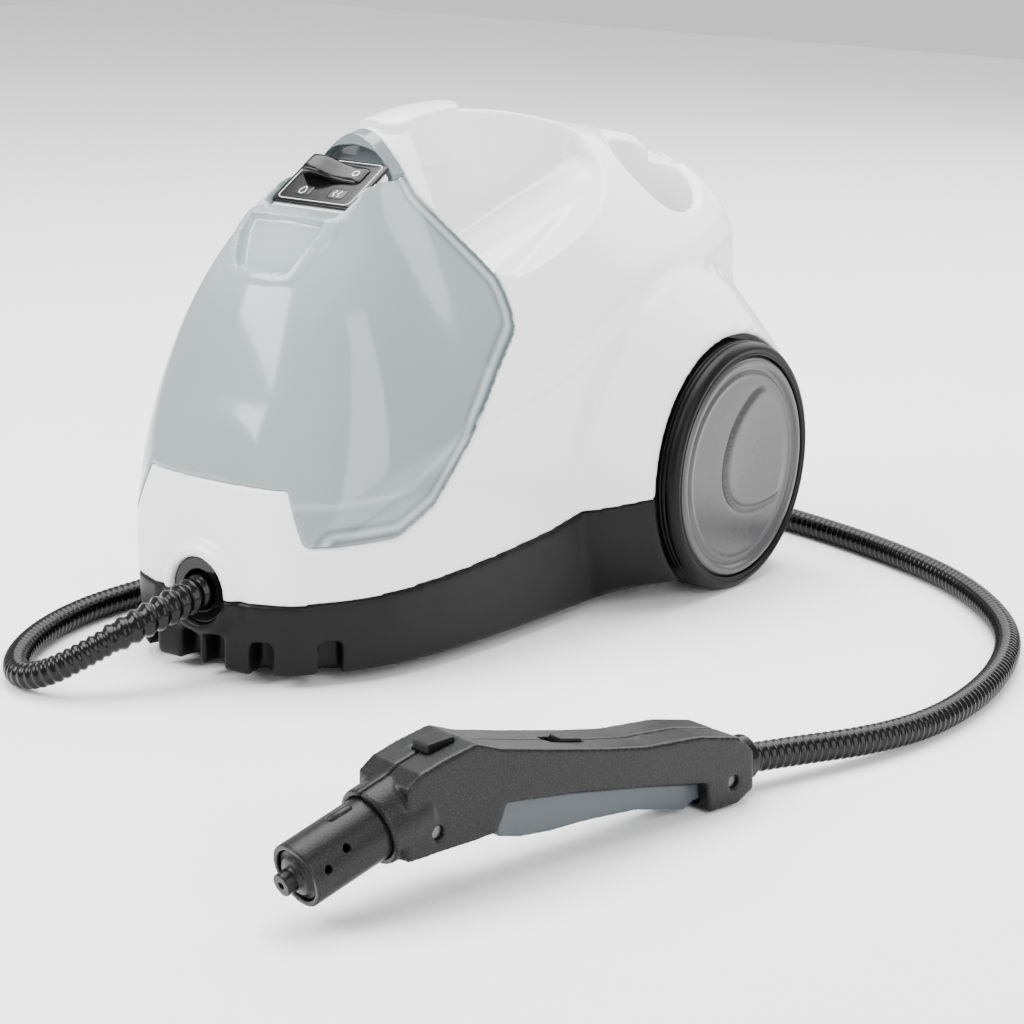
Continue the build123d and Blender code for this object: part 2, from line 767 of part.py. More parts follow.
axle = x_cylinder(AXLE_R, 62, TYRE_OUT_X - 6)
with BuildPart() as axle_clip:
    with BuildSketch(Plane.YZ.offset(TYRE_OUT_X - 9.2)):
        with Locations((WHEEL_Y, WHEEL_R)):
            Circle(AXLE_R + 4)
            Circle(AXLE_R, mode=Mode.SUBTRACT)
            with Locations((0, -AXLE_R - 2)):
                Rectangle(5, 6, mode=Mode.SUBTRACT)
    extrude(amount=1.2)
with BuildPart() as wheel_spacer:
    with BuildSketch(Plane.YZ.offset(WELL_IN_X + 0.05)):
        with Locations((WHEEL_Y, WHEEL_R)):
            Circle(HUB_R)
            Circle(AXLE_R, mode=Mode.SUBTRACT)
    extrude(amount=TYRE_IN_X - 5 - WELL_IN_X - 0.35)

axle_parts = {"wheel_axles": axle, "axle_clips": axle_clip.part, "wheel_spacers": wheel_spacer.part}
for label, piece in axle_parts.items():
    save(both_sides(piece), label)
for side, name in ((1, "right"), (-1, "left")):
    for piece, label in ((tyre, "tyre"), (rim, "wheel_rim"), (hub_cap, "hub_cap")):
        with BuildPart() as handed:
            if side > 0:
                add(piece)
            else:
                add(piece.mirror(Plane.YZ))
        save(handed.part, f"{name}_{label}")

# ---------------------------------------------------------------- castor
wheel_centre_y = CASTOR_Y + CASTOR_TRAIL
with BuildPart() as castor_fork:
    with Locations((0, CASTOR_Y, 25)):
        Cylinder(17, 3)
    with Locations((0, CASTOR_Y, 26.5)):
        Cylinder(STEM_R, 16, align=(Align.CENTER, Align.CENTER, Align.MIN))
    with BuildSketch(Plane.YZ):
        with BuildLine():
            Polyline(
                (CASTOR_Y - 8, 24),
                (CASTOR_Y + 14, 24),
                (wheel_centre_y + 5, CASTOR_R - 4),
                (wheel_centre_y - 5, CASTOR_R - 4),
                close=True,
            )
        make_face()
    extrude(amount=8.5, both=True)
    add(block((-6.5, 6.5), (CASTOR_Y - 30, CASTOR_Y + 30), (0, 23.4)), mode=Mode.SUBTRACT)
    add(x_cylinder(2, -12, 12, wheel_centre_y, CASTOR_R), mode=Mode.SUBTRACT)
save(castor_fork.part, "castor_fork")

with BuildPart() as castor_wheel:
    add(x_cylinder(CASTOR_R, -6.1, 6.1, wheel_centre_y, CASTOR_R))
    chamfer(edges().filter_by(GeomType.CIRCLE), 1.2)
    add(x_cylinder(2 + RUN, -12, 12, wheel_centre_y, CASTOR_R), mode=Mode.SUBTRACT)
save(castor_wheel.part, "castor_wheel")
save(x_cylinder(2, -8.5, 8.5, wheel_centre_y, CASTOR_R), "castor_pin")

# ---------------------------------------------------------------- boiler and what feeds it
half_boiler = BOILER_LEN / 2
split_y = BOILER_Y + 18
lid_y = split_y + 1.5
lid_end_y = BOILER_Y + half_boiler
drum_start_y = BOILER_Y - half_boiler


def drum(radius, start_y, end_y, rounded):
    """A cylinder along the boiler's axis, with one end rounded off."""
    with BuildPart() as cask:
        add(y_cylinder(radius, 0, BOILER_Z, start_y, end_y))
        rims = edges().filter_by(GeomType.CIRCLE).sort_by(Axis.Y)
        fillet(rims[:1] if rounded == "start" else rims[-1:], 12)
    return cask.part


def flange_bolts(radius, start_y, length):
    """One cylinder at each bolt of the boiler's flange."""
    with BuildPart() as ring:
        with Locations(Plane(origin=(0, start_y, BOILER_Z), x_dir=(1, 0, 0), z_dir=(0, 1, 0))):
            with PolarLocations(BOILER_R + 4.4, 8):
                Cylinder(radius, length, align=(Align.CENTER, Align.CENTER, Align.MIN))
    return ring.part


bolt_holes = flange_bolts(1.6, split_y - 10, 30)
fitting_ys = (BOILER_Y - 28, BOILER_Y - 11, BOILER_Y + 6)
with BuildPart() as boiler_drum:
    add(drum(BOILER_R, drum_start_y, split_y, "start"))
    add(y_cylinder(BOILER_R + 8, 0, BOILER_Z, split_y - 2.5, split_y))
    add(drum(BOILER_R - 2, drum_start_y + 2, split_y + 1, "start"), mode=Mode.SUBTRACT)
    add(bolt_holes, mode=Mode.SUBTRACT)
    add(y_cylinder(3.2, 0, 88, drum_start_y - 5, drum_start_y + 8), mode=Mode.SUBTRACT)
    for fitting_y in fitting_ys:
        add(z_cylinder(3, 0, fitting_y, BOILER_Z + 20, BOILER_Z + 60), mode=Mode.SUBTRACT)
save(boiler_drum.part, "boiler_drum")

with BuildPart() as boiler_gasket:
    add(y_cylinder(BOILER_R + 8, 0, BOILER_Z, split_y, lid_y))
    add(y_cylinder(BOILER_R - 2, 0, BOILER_Z, split_y - 1, lid_y + 1), mode=Mode.SUBTRACT)
    add(bolt_holes, mode=Mode.SUBTRACT)
save(boiler_gasket.part, "boiler_gasket")

element_xs = (-20, 20)
element_z = BOILER_Z - 18
with BuildPart() as boiler_lid:
    add(drum(BOILER_R, lid_y, lid_end_y, "end"))
    add(y_cylinder(BOILER_R + 8, 0, BOILER_Z, lid_y, lid_y + 2.5))
    add(drum(BOILER_R - 2, lid_y - 1, lid_end_y - 2, "end"), mode=Mode.SUBTRACT)
    add(bolt_holes, mode=Mode.SUBTRACT)
    for element_x in element_xs:
        add(y_cylinder(3.2, element_x, element_z, lid_end_y - 8, lid_end_y + 8), mode=Mode.SUBTRACT)
    add(y_cylinder(3, 0, 92, lid_end_y - 8, lid_end_y + 8), mode=Mode.SUBTRACT)
save(boiler_lid.part, "boiler_lid")

with BuildPart() as boiler_bolts:
    add(flange_bolts(1.5, split_y - 5.5, 11.8))
    add(flange_bolts(2.8, lid_y + 2.5, 2.2))
save(boiler_bolts.part, "boiler_bolts")


def bent_rod(points, radius, bend):
    """A round rod or tube bent along straight runs and arcs."""
    with BuildPart() as rod:
        with BuildLine() as path:
            FilletPolyline(*points, radius=bend)
        with BuildSketch(Plane(origin=path.line @ 0, z_dir=path.line % 0)):
            Circle(radius)
        sweep()
    return rod.part


element_points = [
    (element_xs[0], lid_end_y + 10, element_z),
    (element_xs[0], BOILER_Y - 24, element_z),
    (element_xs[1], BOILER_Y - 24, element_z),
    (element_xs[1], lid_end_y + 10, element_z),
]
save(bent_rod(element_points, 3.2, 14), "heating_element")

with BuildPart() as boiler_cradle:
    for cradle_y in (BOILER_Y - 26, BOILER_Y + 4):
        add(block((-36, 36), (cradle_y - 2, cradle_y + 2), (FLOOR_Z + WALL + 0.05, BOILER_Z - 12)))
    add(block((-38, 38), (BOILER_Y - 28, BOILER_Y + 6), (FLOOR_Z + WALL + 0.05, CRADLE_TOP)))
    add(y_cylinder(BOILER_R + 0.02, 0, BOILER_Z, BOILER_Y - 60, BOILER_Y + 60), mode=Mode.SUBTRACT)
    for foot_x, foot_y in CRADLE_SCREWS:
        add(z_cylinder(SCREW_R, foot_x, foot_y, 0, 20), mode=Mode.SUBTRACT)
save(boiler_cradle.part, "boiler_cradle")


def boss_stack(stages, y):
    """A turned fitting on top of the boiler: radii and heights above its stub, upright."""
    with BuildPart() as stack:
        add(z_cylinder(3, 0, y, BOILER_Z + BOILER_R - 4, BOILER_Z + BOILER_R + 0.1))
        level = BOILER_Z + BOILER_R + 0.1
        for radius, height in stages:
            add(z_cylinder(radius, 0, y, level, level + height))
            level += height
    return stack.part


thermostat_y, safety_y, cutout_y = fitting_ys
with BuildPart() as thermostats:
    add(boss_stack([(7.5, 2), (6, 6), (2, 3)], thermostat_y))
    add(boss_stack([(7.5, 2), (6, 6), (2, 3)], cutout_y))
save(thermostats.part, "thermostats")
save(boss_stack([(6, 5), (8, 3), (5, 8), (3, 4)], safety_y), "safety_valve")

with BuildPart() as steam_valve:
    add(y_cylinder(12, 0, 70, -94, -62))
    add(block((-13, 13), (-86, -68), (54, 66)))
save(steam_valve.part, "steam_valve")

steam_points = [
    (0, -94.2, 70),
    (0, -112, 70),
    (0, -130, 58),
    (0, -148, OUTLET_Z),
    (0, -172.4, OUTLET_Z),
]
save(bent_rod(steam_points, 3.2, 10), "steam_pipe")
boiler_points = [(0, drum_start_y + 3, 88), (0, -40, 88), (0, -48, 70), (0, -61.8, 70)]
save(bent_rod(boiler_points, 3.1, 6), "boiler_pipe")

with BuildPart() as water_pump:
    add(y_cylinder(PUMP_R, PUMP_X, PUMP_Z, -40, 6))
    add(y_cylinder(8, PUMP_X, PUMP_Z, -54, 20))
save(water_pump.part, "water_pump")

feed_points = [
    (0, PORT_Y, PORT_Z - 26.2),
    (0, PORT_Y, 66),
    (-16, PORT_Y + 10, 56),
    (-38, -108, 42),
    (PUMP_X, -78, PUMP_Z),
    (PUMP_X, -54.3, PUMP_Z),
]
save(bent_rod(feed_points, 3, 6), "feed_tube")
pressure_points = [
    (PUMP_X, 20.3, PUMP_Z),
    (PUMP_X, 62, PUMP_Z),
    (-40, 90, 60),
    (0, 92, 92),
    (0, lid_end_y - 3, 92),
]
save(bent_rod(pressure_points, 2.9, 8), "pressure_tube")

with BuildPart() as control_board:
    add(block((-38, 38), (150, 151.6), (88, 150)))
    add(block((-30, -12), (138, 150), (96, 112)))
    add(block((6, 26), (136, 150), (118, 134)))
    add(block((-24, -8), (140, 150), (122, 142)))
save(control_board.part, "control_board")

with BuildPart() as mains_gland:
    add(y_cylinder(GLAND_R - 0.05, 30, 40, 178, 189.5))
    add(y_cylinder(9, 30, 40, 186.1, 189.5))
    add(y_cylinder(4.2, 30, 40, 170, 200), mode=Mode.SUBTRACT)
save(mains_gland.part, "mains_gland")

# ---------------------------------------------------------------- hose outlet and hose
with BuildPart() as hose_collar:
    add(y_cylinder(OUTLET_R - 0.05, 0, OUTLET_Z, -191, -172.2))
    add(y_cylinder(SLEEVE_R + 1.1, 0, OUTLET_Z, -195, -176), mode=Mode.SUBTRACT)
    add(y_cylinder(3.2, 0, OUTLET_Z, -180, -160), mode=Mode.SUBTRACT)
save(hose_collar.part, "hose_collar")

# corner radii: 0.45 of the shorter run beside the corner, over the tangent of half the turn
route = [Vector(*point) for point in HOSE_ROUTE]
radii = []
for before, corner, after in zip(route, route[1:], route[2:]):
    half_turn = math.radians((corner - before).get_angle(after - corner)) / 2
    shorter = min((corner - before).length, (after - corner).length)
    radii.append(0.45 * shorter / math.tan(half_turn))
print("hose corner radii", [round(radius) for radius in radii])

with BuildPart() as steam_hose:
    with BuildLine() as hose_path:
        FilletPolyline(*route, radius=radii)
    with BuildSketch(Plane(origin=route[0], z_dir=route[1] - route[0])):
        Circle(HOSE_D / 2)
    sweep()
save(steam_hose.part, "steam_hose")
hose_length = sum(edge.length for edge in hose_path.line.edges())
print("hose length", round(hose_length), "volume", round(steam_hose.part.volume))
print("section times length", round(math.pi * (HOSE_D / 2) ** 2 * hose_length))

# stiff sleeve over the hose's first bends, cut to the same path
with BuildPart() as hose_sleeve:
    with BuildLine():
        FilletPolyline(*route[:5], radius=radii[:3])
    with BuildSketch(Plane(origin=route[0], z_dir=route[1] - route[0])):
        Circle(SLEEVE_R)
        Circle(HOSE_D / 2, mode=Mode.SUBTRACT)
    sweep()
    add(block((-80, 60), (-246, -150), (0.4, 80)), mode=Mode.INTERSECT)
save(hose_sleeve.part, "hose_sleeve")

# ---------------------------------------------------------------- steam gun
heading = math.radians(GUN_ANGLE)
gun_plane = Plane(
    origin=(GUN_X, GUN_Y, 0),
    x_dir=(math.sin(heading), math.cos(heading), 0),
    z_dir=(math.cos(heading), -math.sin(heading), 0),
)


def gun_point(along, height, across=0.0):
    """A point of the gun: along it from its mouth, above the floor, and towards its right."""
    return gun_plane.from_local_coords((along, height, across))


def gun_slab(points, start, end):
    """A side-view outline of the gun, extruded across it from start to end."""
    with BuildPart() as slab:
        with BuildSketch(gun_plane.offset(start)):
            with BuildLine():
                Polyline(*points, close=True)
            make_face()
        extrude(amount=end - start)
    return slab.part


def gun_rod(along, height, radius, start, end):
    """A round bar across the gun."""
    with BuildPart() as bar:
        with BuildSketch(gun_plane.offset(start)):
            with Locations((along, height)):
                Circle(radius)
        extrude(amount=end - start)
    return bar.part


barrel_tilt = math.radians(BARREL_TILT)
barrel_axis = gun_plane.x_dir * math.cos(barrel_tilt) + Vector(0, 0, math.sin(barrel_tilt))
barrel_plane = Plane(origin=gun_point(*BARREL_MOUTH), z_dir=barrel_axis)


def barrel_ring(outer, inner, start, end):
    """A ring about the barrel's axis, from start to end behind its mouth."""
    with BuildPart() as ring:
        with BuildSketch(barrel_plane.offset(start)):
            Circle(outer)
            if inner:
                Circle(inner, mode=Mode.SUBTRACT)
        extrude(amount=end - start)
    return ring.part


grip_slope = math.radians(-12.3)
grip_plane = Plane(
    origin=gun_point(143, 48.7),
    x_dir=gun_plane.x_dir * math.cos(grip_slope) + Vector(0, 0, math.sin(grip_slope)),
    z_dir=gun_plane.z_dir,
)


def grip_block(along, height, across):
    """A box in line with the top of the gun's grip, from three pairs of limits."""
    with BuildPart() as cuboid:
        with BuildSketch(grip_plane.offset(across[0])):
            with Locations(((along[0] + along[1]) / 2, (height[0] + height[1]) / 2)):
                Rectangle(along[1] - along[0], height[1] - height[0])
        extrude(amount=across[1] - across[0])
    return cuboid.part


button_room = [(68.7, 50), (68.7, 75), (83.3, 75), (83.3, 50)]
with BuildPart() as gun_body:
    add(gun_slab(GUN_SIDE, -GUN_HALF, GUN_HALF))
    add(barrel_ring(BARREL_R + 3, 0, 38, 60))
    with BuildSketch(gun_plane.offset(-GUN_HALF + GUN_WALL)):
        with BuildLine():
            Polyline(*GUN_SIDE, close=True)
        make_face()
        offset(amount=-GUN_WALL)
    extrude(amount=2 * (GUN_HALF - GUN_WALL), mode=Mode.SUBTRACT)
    add(barrel_ring(BARREL_R, 0, 36, 62), mode=Mode.SUBTRACT)
    for screw_along, screw_height in GUN_SCREWS:
        add(gun_rod(screw_along, screw_height, 4, -GUN_HALF + 1, GUN_HALF - 1))
    add(gun_rod(*TRIGGER_PIVOT, 4, -GUN_HALF + 1, GUN_HALF - 1))
    add(gun_slab(TRIGGER_ROOM, -TRIGGER_HALF - 0.6, TRIGGER_HALF + 0.6), mode=Mode.SUBTRACT)
    add(gun_slab(button_room, -5.3, 5.3), mode=Mode.SUBTRACT)
    add(grip_block((-6.5, 13.5), (-6, 6), (-4.3, 4.3)), mode=Mode.SUBTRACT)
    add(gun_rod(*TRIGGER_PIVOT, PIN_R, -GUN_HALF + 1.5, GUN_HALF - 1.5), mode=Mode.SUBTRACT)
    add(barrel_ring(BARREL_R, 0, -5, BARREL_LEN), mode=Mode.SUBTRACT)
    with BuildSketch(Plane(origin=gun_point(252, 14.5), z_dir=gun_plane.x_dir).offset(-8)):
        Circle(HOSE_D / 2 + 1)
    extrude(amount=16, mode=Mode.SUBTRACT)
    for screw_along, screw_height in GUN_SCREWS:
        add(gun_rod(screw_along, screw_height, 1.5, -8, GUN_HALF + 1), mode=Mode.SUBTRACT)
        add(gun_rod(screw_along, screw_height, 3, GUN_HALF - 4, GUN_HALF + 1), mode=Mode.SUBTRACT)

for keep, shell_name in ((Keep.TOP, "gun_right_shell"), (Keep.BOTTOM, "gun_left_shell")):
    with BuildPart() as gun_shell:
        add(gun_body.part)
        split(bisect_by=gun_plane, keep=keep)
    save(gun_shell.part, shell_name)
    print(shell_name, len(gun_shell.part.solids()))

with BuildPart() as gun_screws:
    for screw_along, screw_height in GUN_SCREWS:
        add(gun_rod(screw_along, screw_height, 1.45, -7, GUN_HALF - 4))
        add(gun_rod(screw_along, screw_height, 2.8, GUN_HALF - 4, GUN_HALF - 2.2))
save(gun_screws.part, "gun_screws")

with BuildPart() as gun_barrel:
    add(barrel_ring(BARREL_R - 0.05, NOZZLE_R, 40, BARREL_LEN))
    add(barrel_ring(BARREL_R - 0.05, BARREL_R - 2.5, 0, 40))
save(gun_barrel.part, "gun_barrel")
save(barrel_ring(NOZZLE_R - 0.05, 1.5, -7.5, BARREL_LEN + 2), "steam_nozzle")

gun_tube_points = [
    gun_point(243.5, 14.5),
    gun_point(236, 22, -3),
    gun_point(222, 29, -8),
    gun_point(196, 33.5, -9),
    gun_point(160, 37, -9),
    gun_point(112, 44.5, -9),
    gun_point(86, 43, -8),
    gun_point(66, 40.5, -3),
    gun_point(57.6, 37.8),
]
save(bent_rod(gun_tube_points, 2.2, 6), "gun_tube")
save(gun_slab([(100, 43), (100, 50), (114, 50), (114, 43)], 0, 8), "gun_switch")

with BuildPart() as trigger:
    add(gun_slab(TRIGGER_SIDE, -TRIGGER_HALF, TRIGGER_HALF))
    add(gun_rod(*TRIGGER_PIVOT, PIN_R + RUN, -20, 20), mode=Mode.SUBTRACT)
save(trigger.part, "trigger")
with BuildPart() as trigger_pin:
    add(gun_rod(*TRIGGER_PIVOT, PIN_R - 0.02, -GUN_HALF + 2, GUN_HALF - 2))
save(trigger_pin.part, "trigger_pin")
with BuildPart() as trigger_spring:
    spring_foot = gun_point(122, 31.0)
    for turn in range(8):
        with Locations((spring_foot.X, spring_foot.Y, spring_foot.Z + 2.4 * turn)):
            Torus(3.6, 0.6)
save(trigger_spring.part, "trigger_spring")

save(gun_slab([(69, 54), (69, 63.8), (83, 64.6), (83, 54)], -5, 5), "release_button")
save(grip_block((0, 12), (-5, 1.3), (-4, 4)), "lock_slider")

with BuildPart() as hose_end_collar:
    collar_plane = Plane(origin=gun_point(250.2, 14.5), z_dir=gun_plane.x_dir)
    with BuildSketch(collar_plane):
        Circle(10.6)
        Circle(HOSE_D / 2 + 1.8, mode=Mode.SUBTRACT)
    extrude(amount=9)
save(hose_end_collar.part, "hose_end_collar")

print("trigger pivot", gun_point(*TRIGGER_PIVOT), "across", gun_plane.z_dir)
print("slider axis", grip_plane.x_dir, "barrel", gun_point(*BARREL_MOUTH), barrel_axis)
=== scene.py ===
import math

import bmesh
import bpy
import numpy as np
from mathutils import Matrix, Vector, noise


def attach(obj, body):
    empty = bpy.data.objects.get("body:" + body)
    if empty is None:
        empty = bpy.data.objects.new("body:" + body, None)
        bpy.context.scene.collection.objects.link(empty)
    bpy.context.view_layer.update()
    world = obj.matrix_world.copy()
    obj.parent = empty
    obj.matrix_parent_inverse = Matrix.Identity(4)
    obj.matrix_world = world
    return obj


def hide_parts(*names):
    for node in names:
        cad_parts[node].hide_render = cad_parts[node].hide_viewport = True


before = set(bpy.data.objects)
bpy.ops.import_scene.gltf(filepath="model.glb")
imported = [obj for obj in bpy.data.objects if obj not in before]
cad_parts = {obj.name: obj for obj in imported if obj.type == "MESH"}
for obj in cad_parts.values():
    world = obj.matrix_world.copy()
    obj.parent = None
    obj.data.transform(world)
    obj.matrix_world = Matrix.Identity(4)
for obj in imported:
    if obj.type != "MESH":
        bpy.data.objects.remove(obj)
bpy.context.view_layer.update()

MM = 0.001


# ---------------------------------------------------------------- camera and stage
def aim(obj, target, roll=0.0):
    """Point an object's -Z at a target, with +Y upwards, then roll it."""
    turn = (Vector(target) - obj.location).to_track_quat("-Z", "Y")
    obj.rotation_euler = (turn.to_matrix() @ Matrix.Rotation(math.radians(roll), 3, "Z")).to_euler()


def make_camera():
    data = bpy.data.cameras.new("camera")
    data.sensor_width = 36
    data.lens = 98.44
    data.shift_x = 0.0275
    data.shift_y = 0.049
    data.clip_end = 20
    camera = bpy.data.objects.new("camera", data)
    bpy.context.scene.collection.objects.link(camera)
    camera.location = (0.9144, -1.1767, 0.4409)
    aim(camera, (0.018773, 0.019975, 0.016709), 0.867)
    bpy.context.scene.camera = camera


def area_light(name, place, target, size, energy):
    data = bpy.data.lights.new(name, "AREA")
    data.shape = "RECTANGLE"
    data.size, data.size_y = size
    data.energy = energy
    lamp = bpy.data.objects.new(name, data)
    bpy.context.scene.collection.objects.link(lamp)
    lamp.location = place
    aim(lamp, target)


def make_stage():
    middle = (0.05, -0.02, 0.12)
    area_light("key", (-0.9, -1.5, 1.5), middle, (1.2, 1.2), 66)
    area_light("fill", (1.9, -0.7, 0.9), middle, (1.2, 1.8), 34)
    area_light("top", (-0.2, 0.3, 1.9), middle, (1.6, 1.6), 84)
    area_light("back", (0.2, 1.8, 1.1), middle, (1.8, 1.2), 26)
    world = bpy.data.worlds.new("studio")
    bpy.context.scene.world = world
    world.use_nodes = True
    world.node_tree.nodes["Background"].inputs["Color"].default_value = (1, 1, 1, 1)
    world.node_tree.nodes["Background"].inputs["Strength"].default_value = 0.85
    floor = grid_sheet("floor", 6.0, 6.0)
    floor.data.materials.append(plastic("floor_pale", (0.97, 0.97, 0.97), 0.6, 0.0, 40, 0.005, 0.2))


def grid_sheet(name, width, depth):
    half_w, half_d = width / 2, depth / 2
    corners = [(-half_w, -half_d, 0), (half_w, -half_d, 0), (half_w, half_d, 0), (-half_w, half_d, 0)]
    return mesh_object(name, corners, [(0, 1, 2, 3)])


# ---------------------------------------------------------------- materials
def new_material(name):
    material = bpy.data.materials.new(name)
    material.use_nodes = True
    tree = material.node_tree
    return material, tree, tree.nodes["Principled BSDF"]


def add_noise(tree, scale, detail=3.0):
    coordinates = tree.nodes.new("ShaderNodeTexCoord")
    texture = tree.nodes.new("ShaderNodeTexNoise")
    texture.inputs["Scale"].default_value = scale
    texture.inputs["Detail"].default_value = detail
    tree.links.new(coordinates.outputs["Object"], texture.inputs["Vector"])
    return texture.outputs["Fac"]


def colour_ramp(tree, factor, low, high, start=0.35, end=0.65):
    ramp = tree.nodes.new("ShaderNodeValToRGB")
    ramp.color_ramp.elements[0].position = start
    ramp.color_ramp.elements[1].position = end
    ramp.color_ramp.elements[0].color = (*low, 1)
    ramp.color_ramp.elements[1].color = (*high, 1)
    tree.links.new(factor, ramp.inputs["Fac"])
    return ramp.outputs["Color"]


def plastic(name, colour, roughness, grain, grain_scale=900, spread=0.04, specular=0.5, coat=0.0):
    """Moulded plastic or rubber: a faint uneven tone, uneven gloss and a fine grain in its surface."""
    material, tree, shader = new_material(name)
    tone = add_noise(tree, 14)
    low = [max(0.0, c * (1 - spread)) for c in colour]
    high = [min(1.0, c * (1 + spread)) for c in colour]
    tree.links.new(colour_ramp(tree, tone, low, high), shader.inputs["Base Color"])
    gloss = tree.nodes.new("ShaderNodeMapRange")
    gloss.inputs["To Min"].default_value = roughness * 0.88
    gloss.inputs["To Max"].default_value = min(1.0, roughness * 1.12)
    tree.links.new(add_noise(tree, 55), gloss.inputs["Value"])
    tree.links.new(gloss.outputs["Result"], shader.inputs["Roughness"])
    shader.inputs["Specular IOR Level"].default_value = specular
    shader.inputs["Coat Weight"].default_value = coat
    shader.inputs["Coat Roughness"].default_value = 0.12
    if grain:
        bump = tree.nodes.new("ShaderNodeBump")
        bump.inputs["Strength"].default_value = grain
        bump.inputs["Distance"].default_value = 0.0004
        tree.links.new(add_noise(tree, grain_scale, 2.0), bump.inputs["Height"])
        tree.links.new(bump.outputs["Normal"], shader.inputs["Normal"])
    return material


def speckled(name, colour, fleck, roughness):
    """Coarse-grained black plastic whose grain catches the light as fine flecks."""
    material = plastic(name, colour, roughness, 0.3, 1400, 0.1, 0.2)
    tree = material.node_tree
    shader = tree.nodes["Principled BSDF"]
    flecks = colour_ramp(tree, add_noise(tree, 1500, 2.0), colour, fleck, 0.46, 0.68)
    tree.links.new(flecks, shader.inputs["Base Color"])
    return material


def metal(name, colour, roughness):
    material = plastic(name, colour, roughness, 0.12, 500)
    material.node_tree.nodes["Principled BSDF"].inputs["Metallic"].default_value = 1.0
    return material


def clear_plastic(name, colour, deep, transmission, roughness):
    """Smoky see-through plastic, darker where its edge attribute is high; on the tank that attribute holds
    the flange tint together with painted shade and a painted highlight.
    """
    material, tree, shader = new_material(name)
    edge = tree.nodes.new("ShaderNodeAttribute")
    edge.attribute_name = "edge"
    tint = colour_ramp(tree, edge.outputs["Fac"], colour, deep, 0.0, 1.0)
    mix = tree.nodes.new("ShaderNodeMix")
    mix.data_type = "RGBA"
    mix.blend_type = "MULTIPLY"
    mix.inputs["Factor"].default_value = 1.0
    tree.links.new(tint, mix.inputs["A"])
    tree.links.new(colour_ramp(tree, add_noise(tree, 9), (0.93,) * 3, (1, 1, 1)), mix.inputs["B"])
    tree.links.new(mix.outputs["Result"], shader.inputs["Base Color"])
    shader.inputs["Roughness"].default_value = roughness
    shader.inputs["IOR"].default_value = 1.45
    shader.inputs["Transmission Weight"].default_value = transmission
    shader.inputs["Coat Weight"].default_value = 0.3
    shader.inputs["Coat Roughness"].default_value = 0.05
    return material


MATERIALS = {
    "shell_white": plastic("shell_white", (0.83, 0.835, 0.84), 0.2, 0.04, 700, 0.01, 0.5, 0.15),
    "base_black": plastic("base_black", (0.0024, 0.0025, 0.0028), 0.42, 0.22, 1300, 0.15, 0.16),
    "tank_clear": clear_plastic("tank_clear", (0.50, 0.57, 0.59), (0.012, 0.03, 0.036), 0.2, 0.13),
    "panel_dark": plastic("panel_dark", (0.0025, 0.0025, 0.003), 0.16, 0.05, 700, 0.1, 0.2),
    "rocker_clear": plastic("rocker_clear", (0.01, 0.011, 0.012), 0.2, 0.05, 700, 0.05, 0.5, 0.4),
    "lamp_clear": plastic("lamp_clear", (0.012, 0.013, 0.014), 0.12, 0.0, 700, 0.1, 0.3),
    "tyre": plastic("tyre", (0.0018, 0.0018, 0.002), 0.4, 0.2, 1100, 0.2, 0.14),
    "cap_grey": plastic("cap_grey", (0.055, 0.055, 0.057), 0.28, 0.10, 1500, 0.06, 0.4),
    "collar_gloss": plastic("collar_gloss", (0.002, 0.002, 0.002), 0.12, 0.0, 700, 0.1, 0.3),
    "hose_black": plastic("hose_black", (0.0016, 0.0016, 0.0018), 0.2, 0.08, 1200, 0.2, 0.22),
    "gun_black": speckled("gun_black", (0.002, 0.002, 0.0022), (0.014, 0.014, 0.015), 0.34),
    "trigger_grey": plastic("trigger_grey", (0.055, 0.066, 0.074), 0.34, 0.12, 1300, 0.04, 0.3),
    "brass_black": metal("brass_black", (0.02, 0.02, 0.02), 0.35),
    "inner_plastic": plastic("inner_plastic", (0.12, 0.125, 0.13), 0.5, 0.2),
    "rubber_black": plastic("rubber_black", (0.003, 0.003, 0.003), 0.6, 0.3, 900, 0.1, 0.15),
    "steel": metal("steel", (0.11, 0.11, 0.115), 0.34),
    "boiler_metal": metal("boiler_metal", (0.66, 0.67, 0.68), 0.34),
    "brass_fitting": metal("brass_fitting", (0.62, 0.46, 0.22), 0.3),
    "tube_clear": plastic("tube_clear", (0.62, 0.64, 0.64), 0.3, 0.05),
    "board_green": plastic("board_green", (0.03, 0.17, 0.08), 0.4, 0.2, 600, 0.2),
}
WHITE_MARK = plastic("white_mark", (0.75, 0.75, 0.75), 0.4, 0.0)


# ---------------------------------------------------------------- mesh helpers
def mesh_object(name, points, faces, smooth=True):
    """A mesh object from points in metres."""
    mesh = bpy.data.meshes.new(name)
    mesh.from_pydata([tuple(point) for point in points], [], [tuple(face) for face in faces])
    mesh.validate()
    mesh.update()
    if smooth:
        mesh.polygons.foreach_set("use_smooth", [True] * len(mesh.polygons))
    obj = bpy.data.objects.new(name, mesh)
    bpy.context.scene.collection.objects.link(obj)
    return obj


def apply_modifiers(obj):
    """Replace the object's mesh with its evaluated one and drop the modifiers."""
    bpy.context.view_layer.update()
    evaluated = obj.evaluated_get(bpy.context.evaluated_depsgraph_get())
    mesh = bpy.data.meshes.new_from_object(evaluated)
    obj.modifiers.clear()
    old = obj.data
    obj.data = mesh
    bpy.data.meshes.remove(old)


def discard(*objects):
    for obj in objects:
        mesh = obj.data
        bpy.data.objects.remove(obj)
        bpy.data.meshes.remove(mesh)


def volume(obj):
    work = bmesh.new()
    work.from_mesh(obj.data)
    size = abs(work.calc_volume())
    work.free()
    return size


# A boolean that leaves less than this share of the volume is taken for a shape that the solver lost.
LEAST_LEFT = 0.4
LEAST_SHARED = 0.02
NUDGES = (0.0, 0.031, -0.047, 0.083)


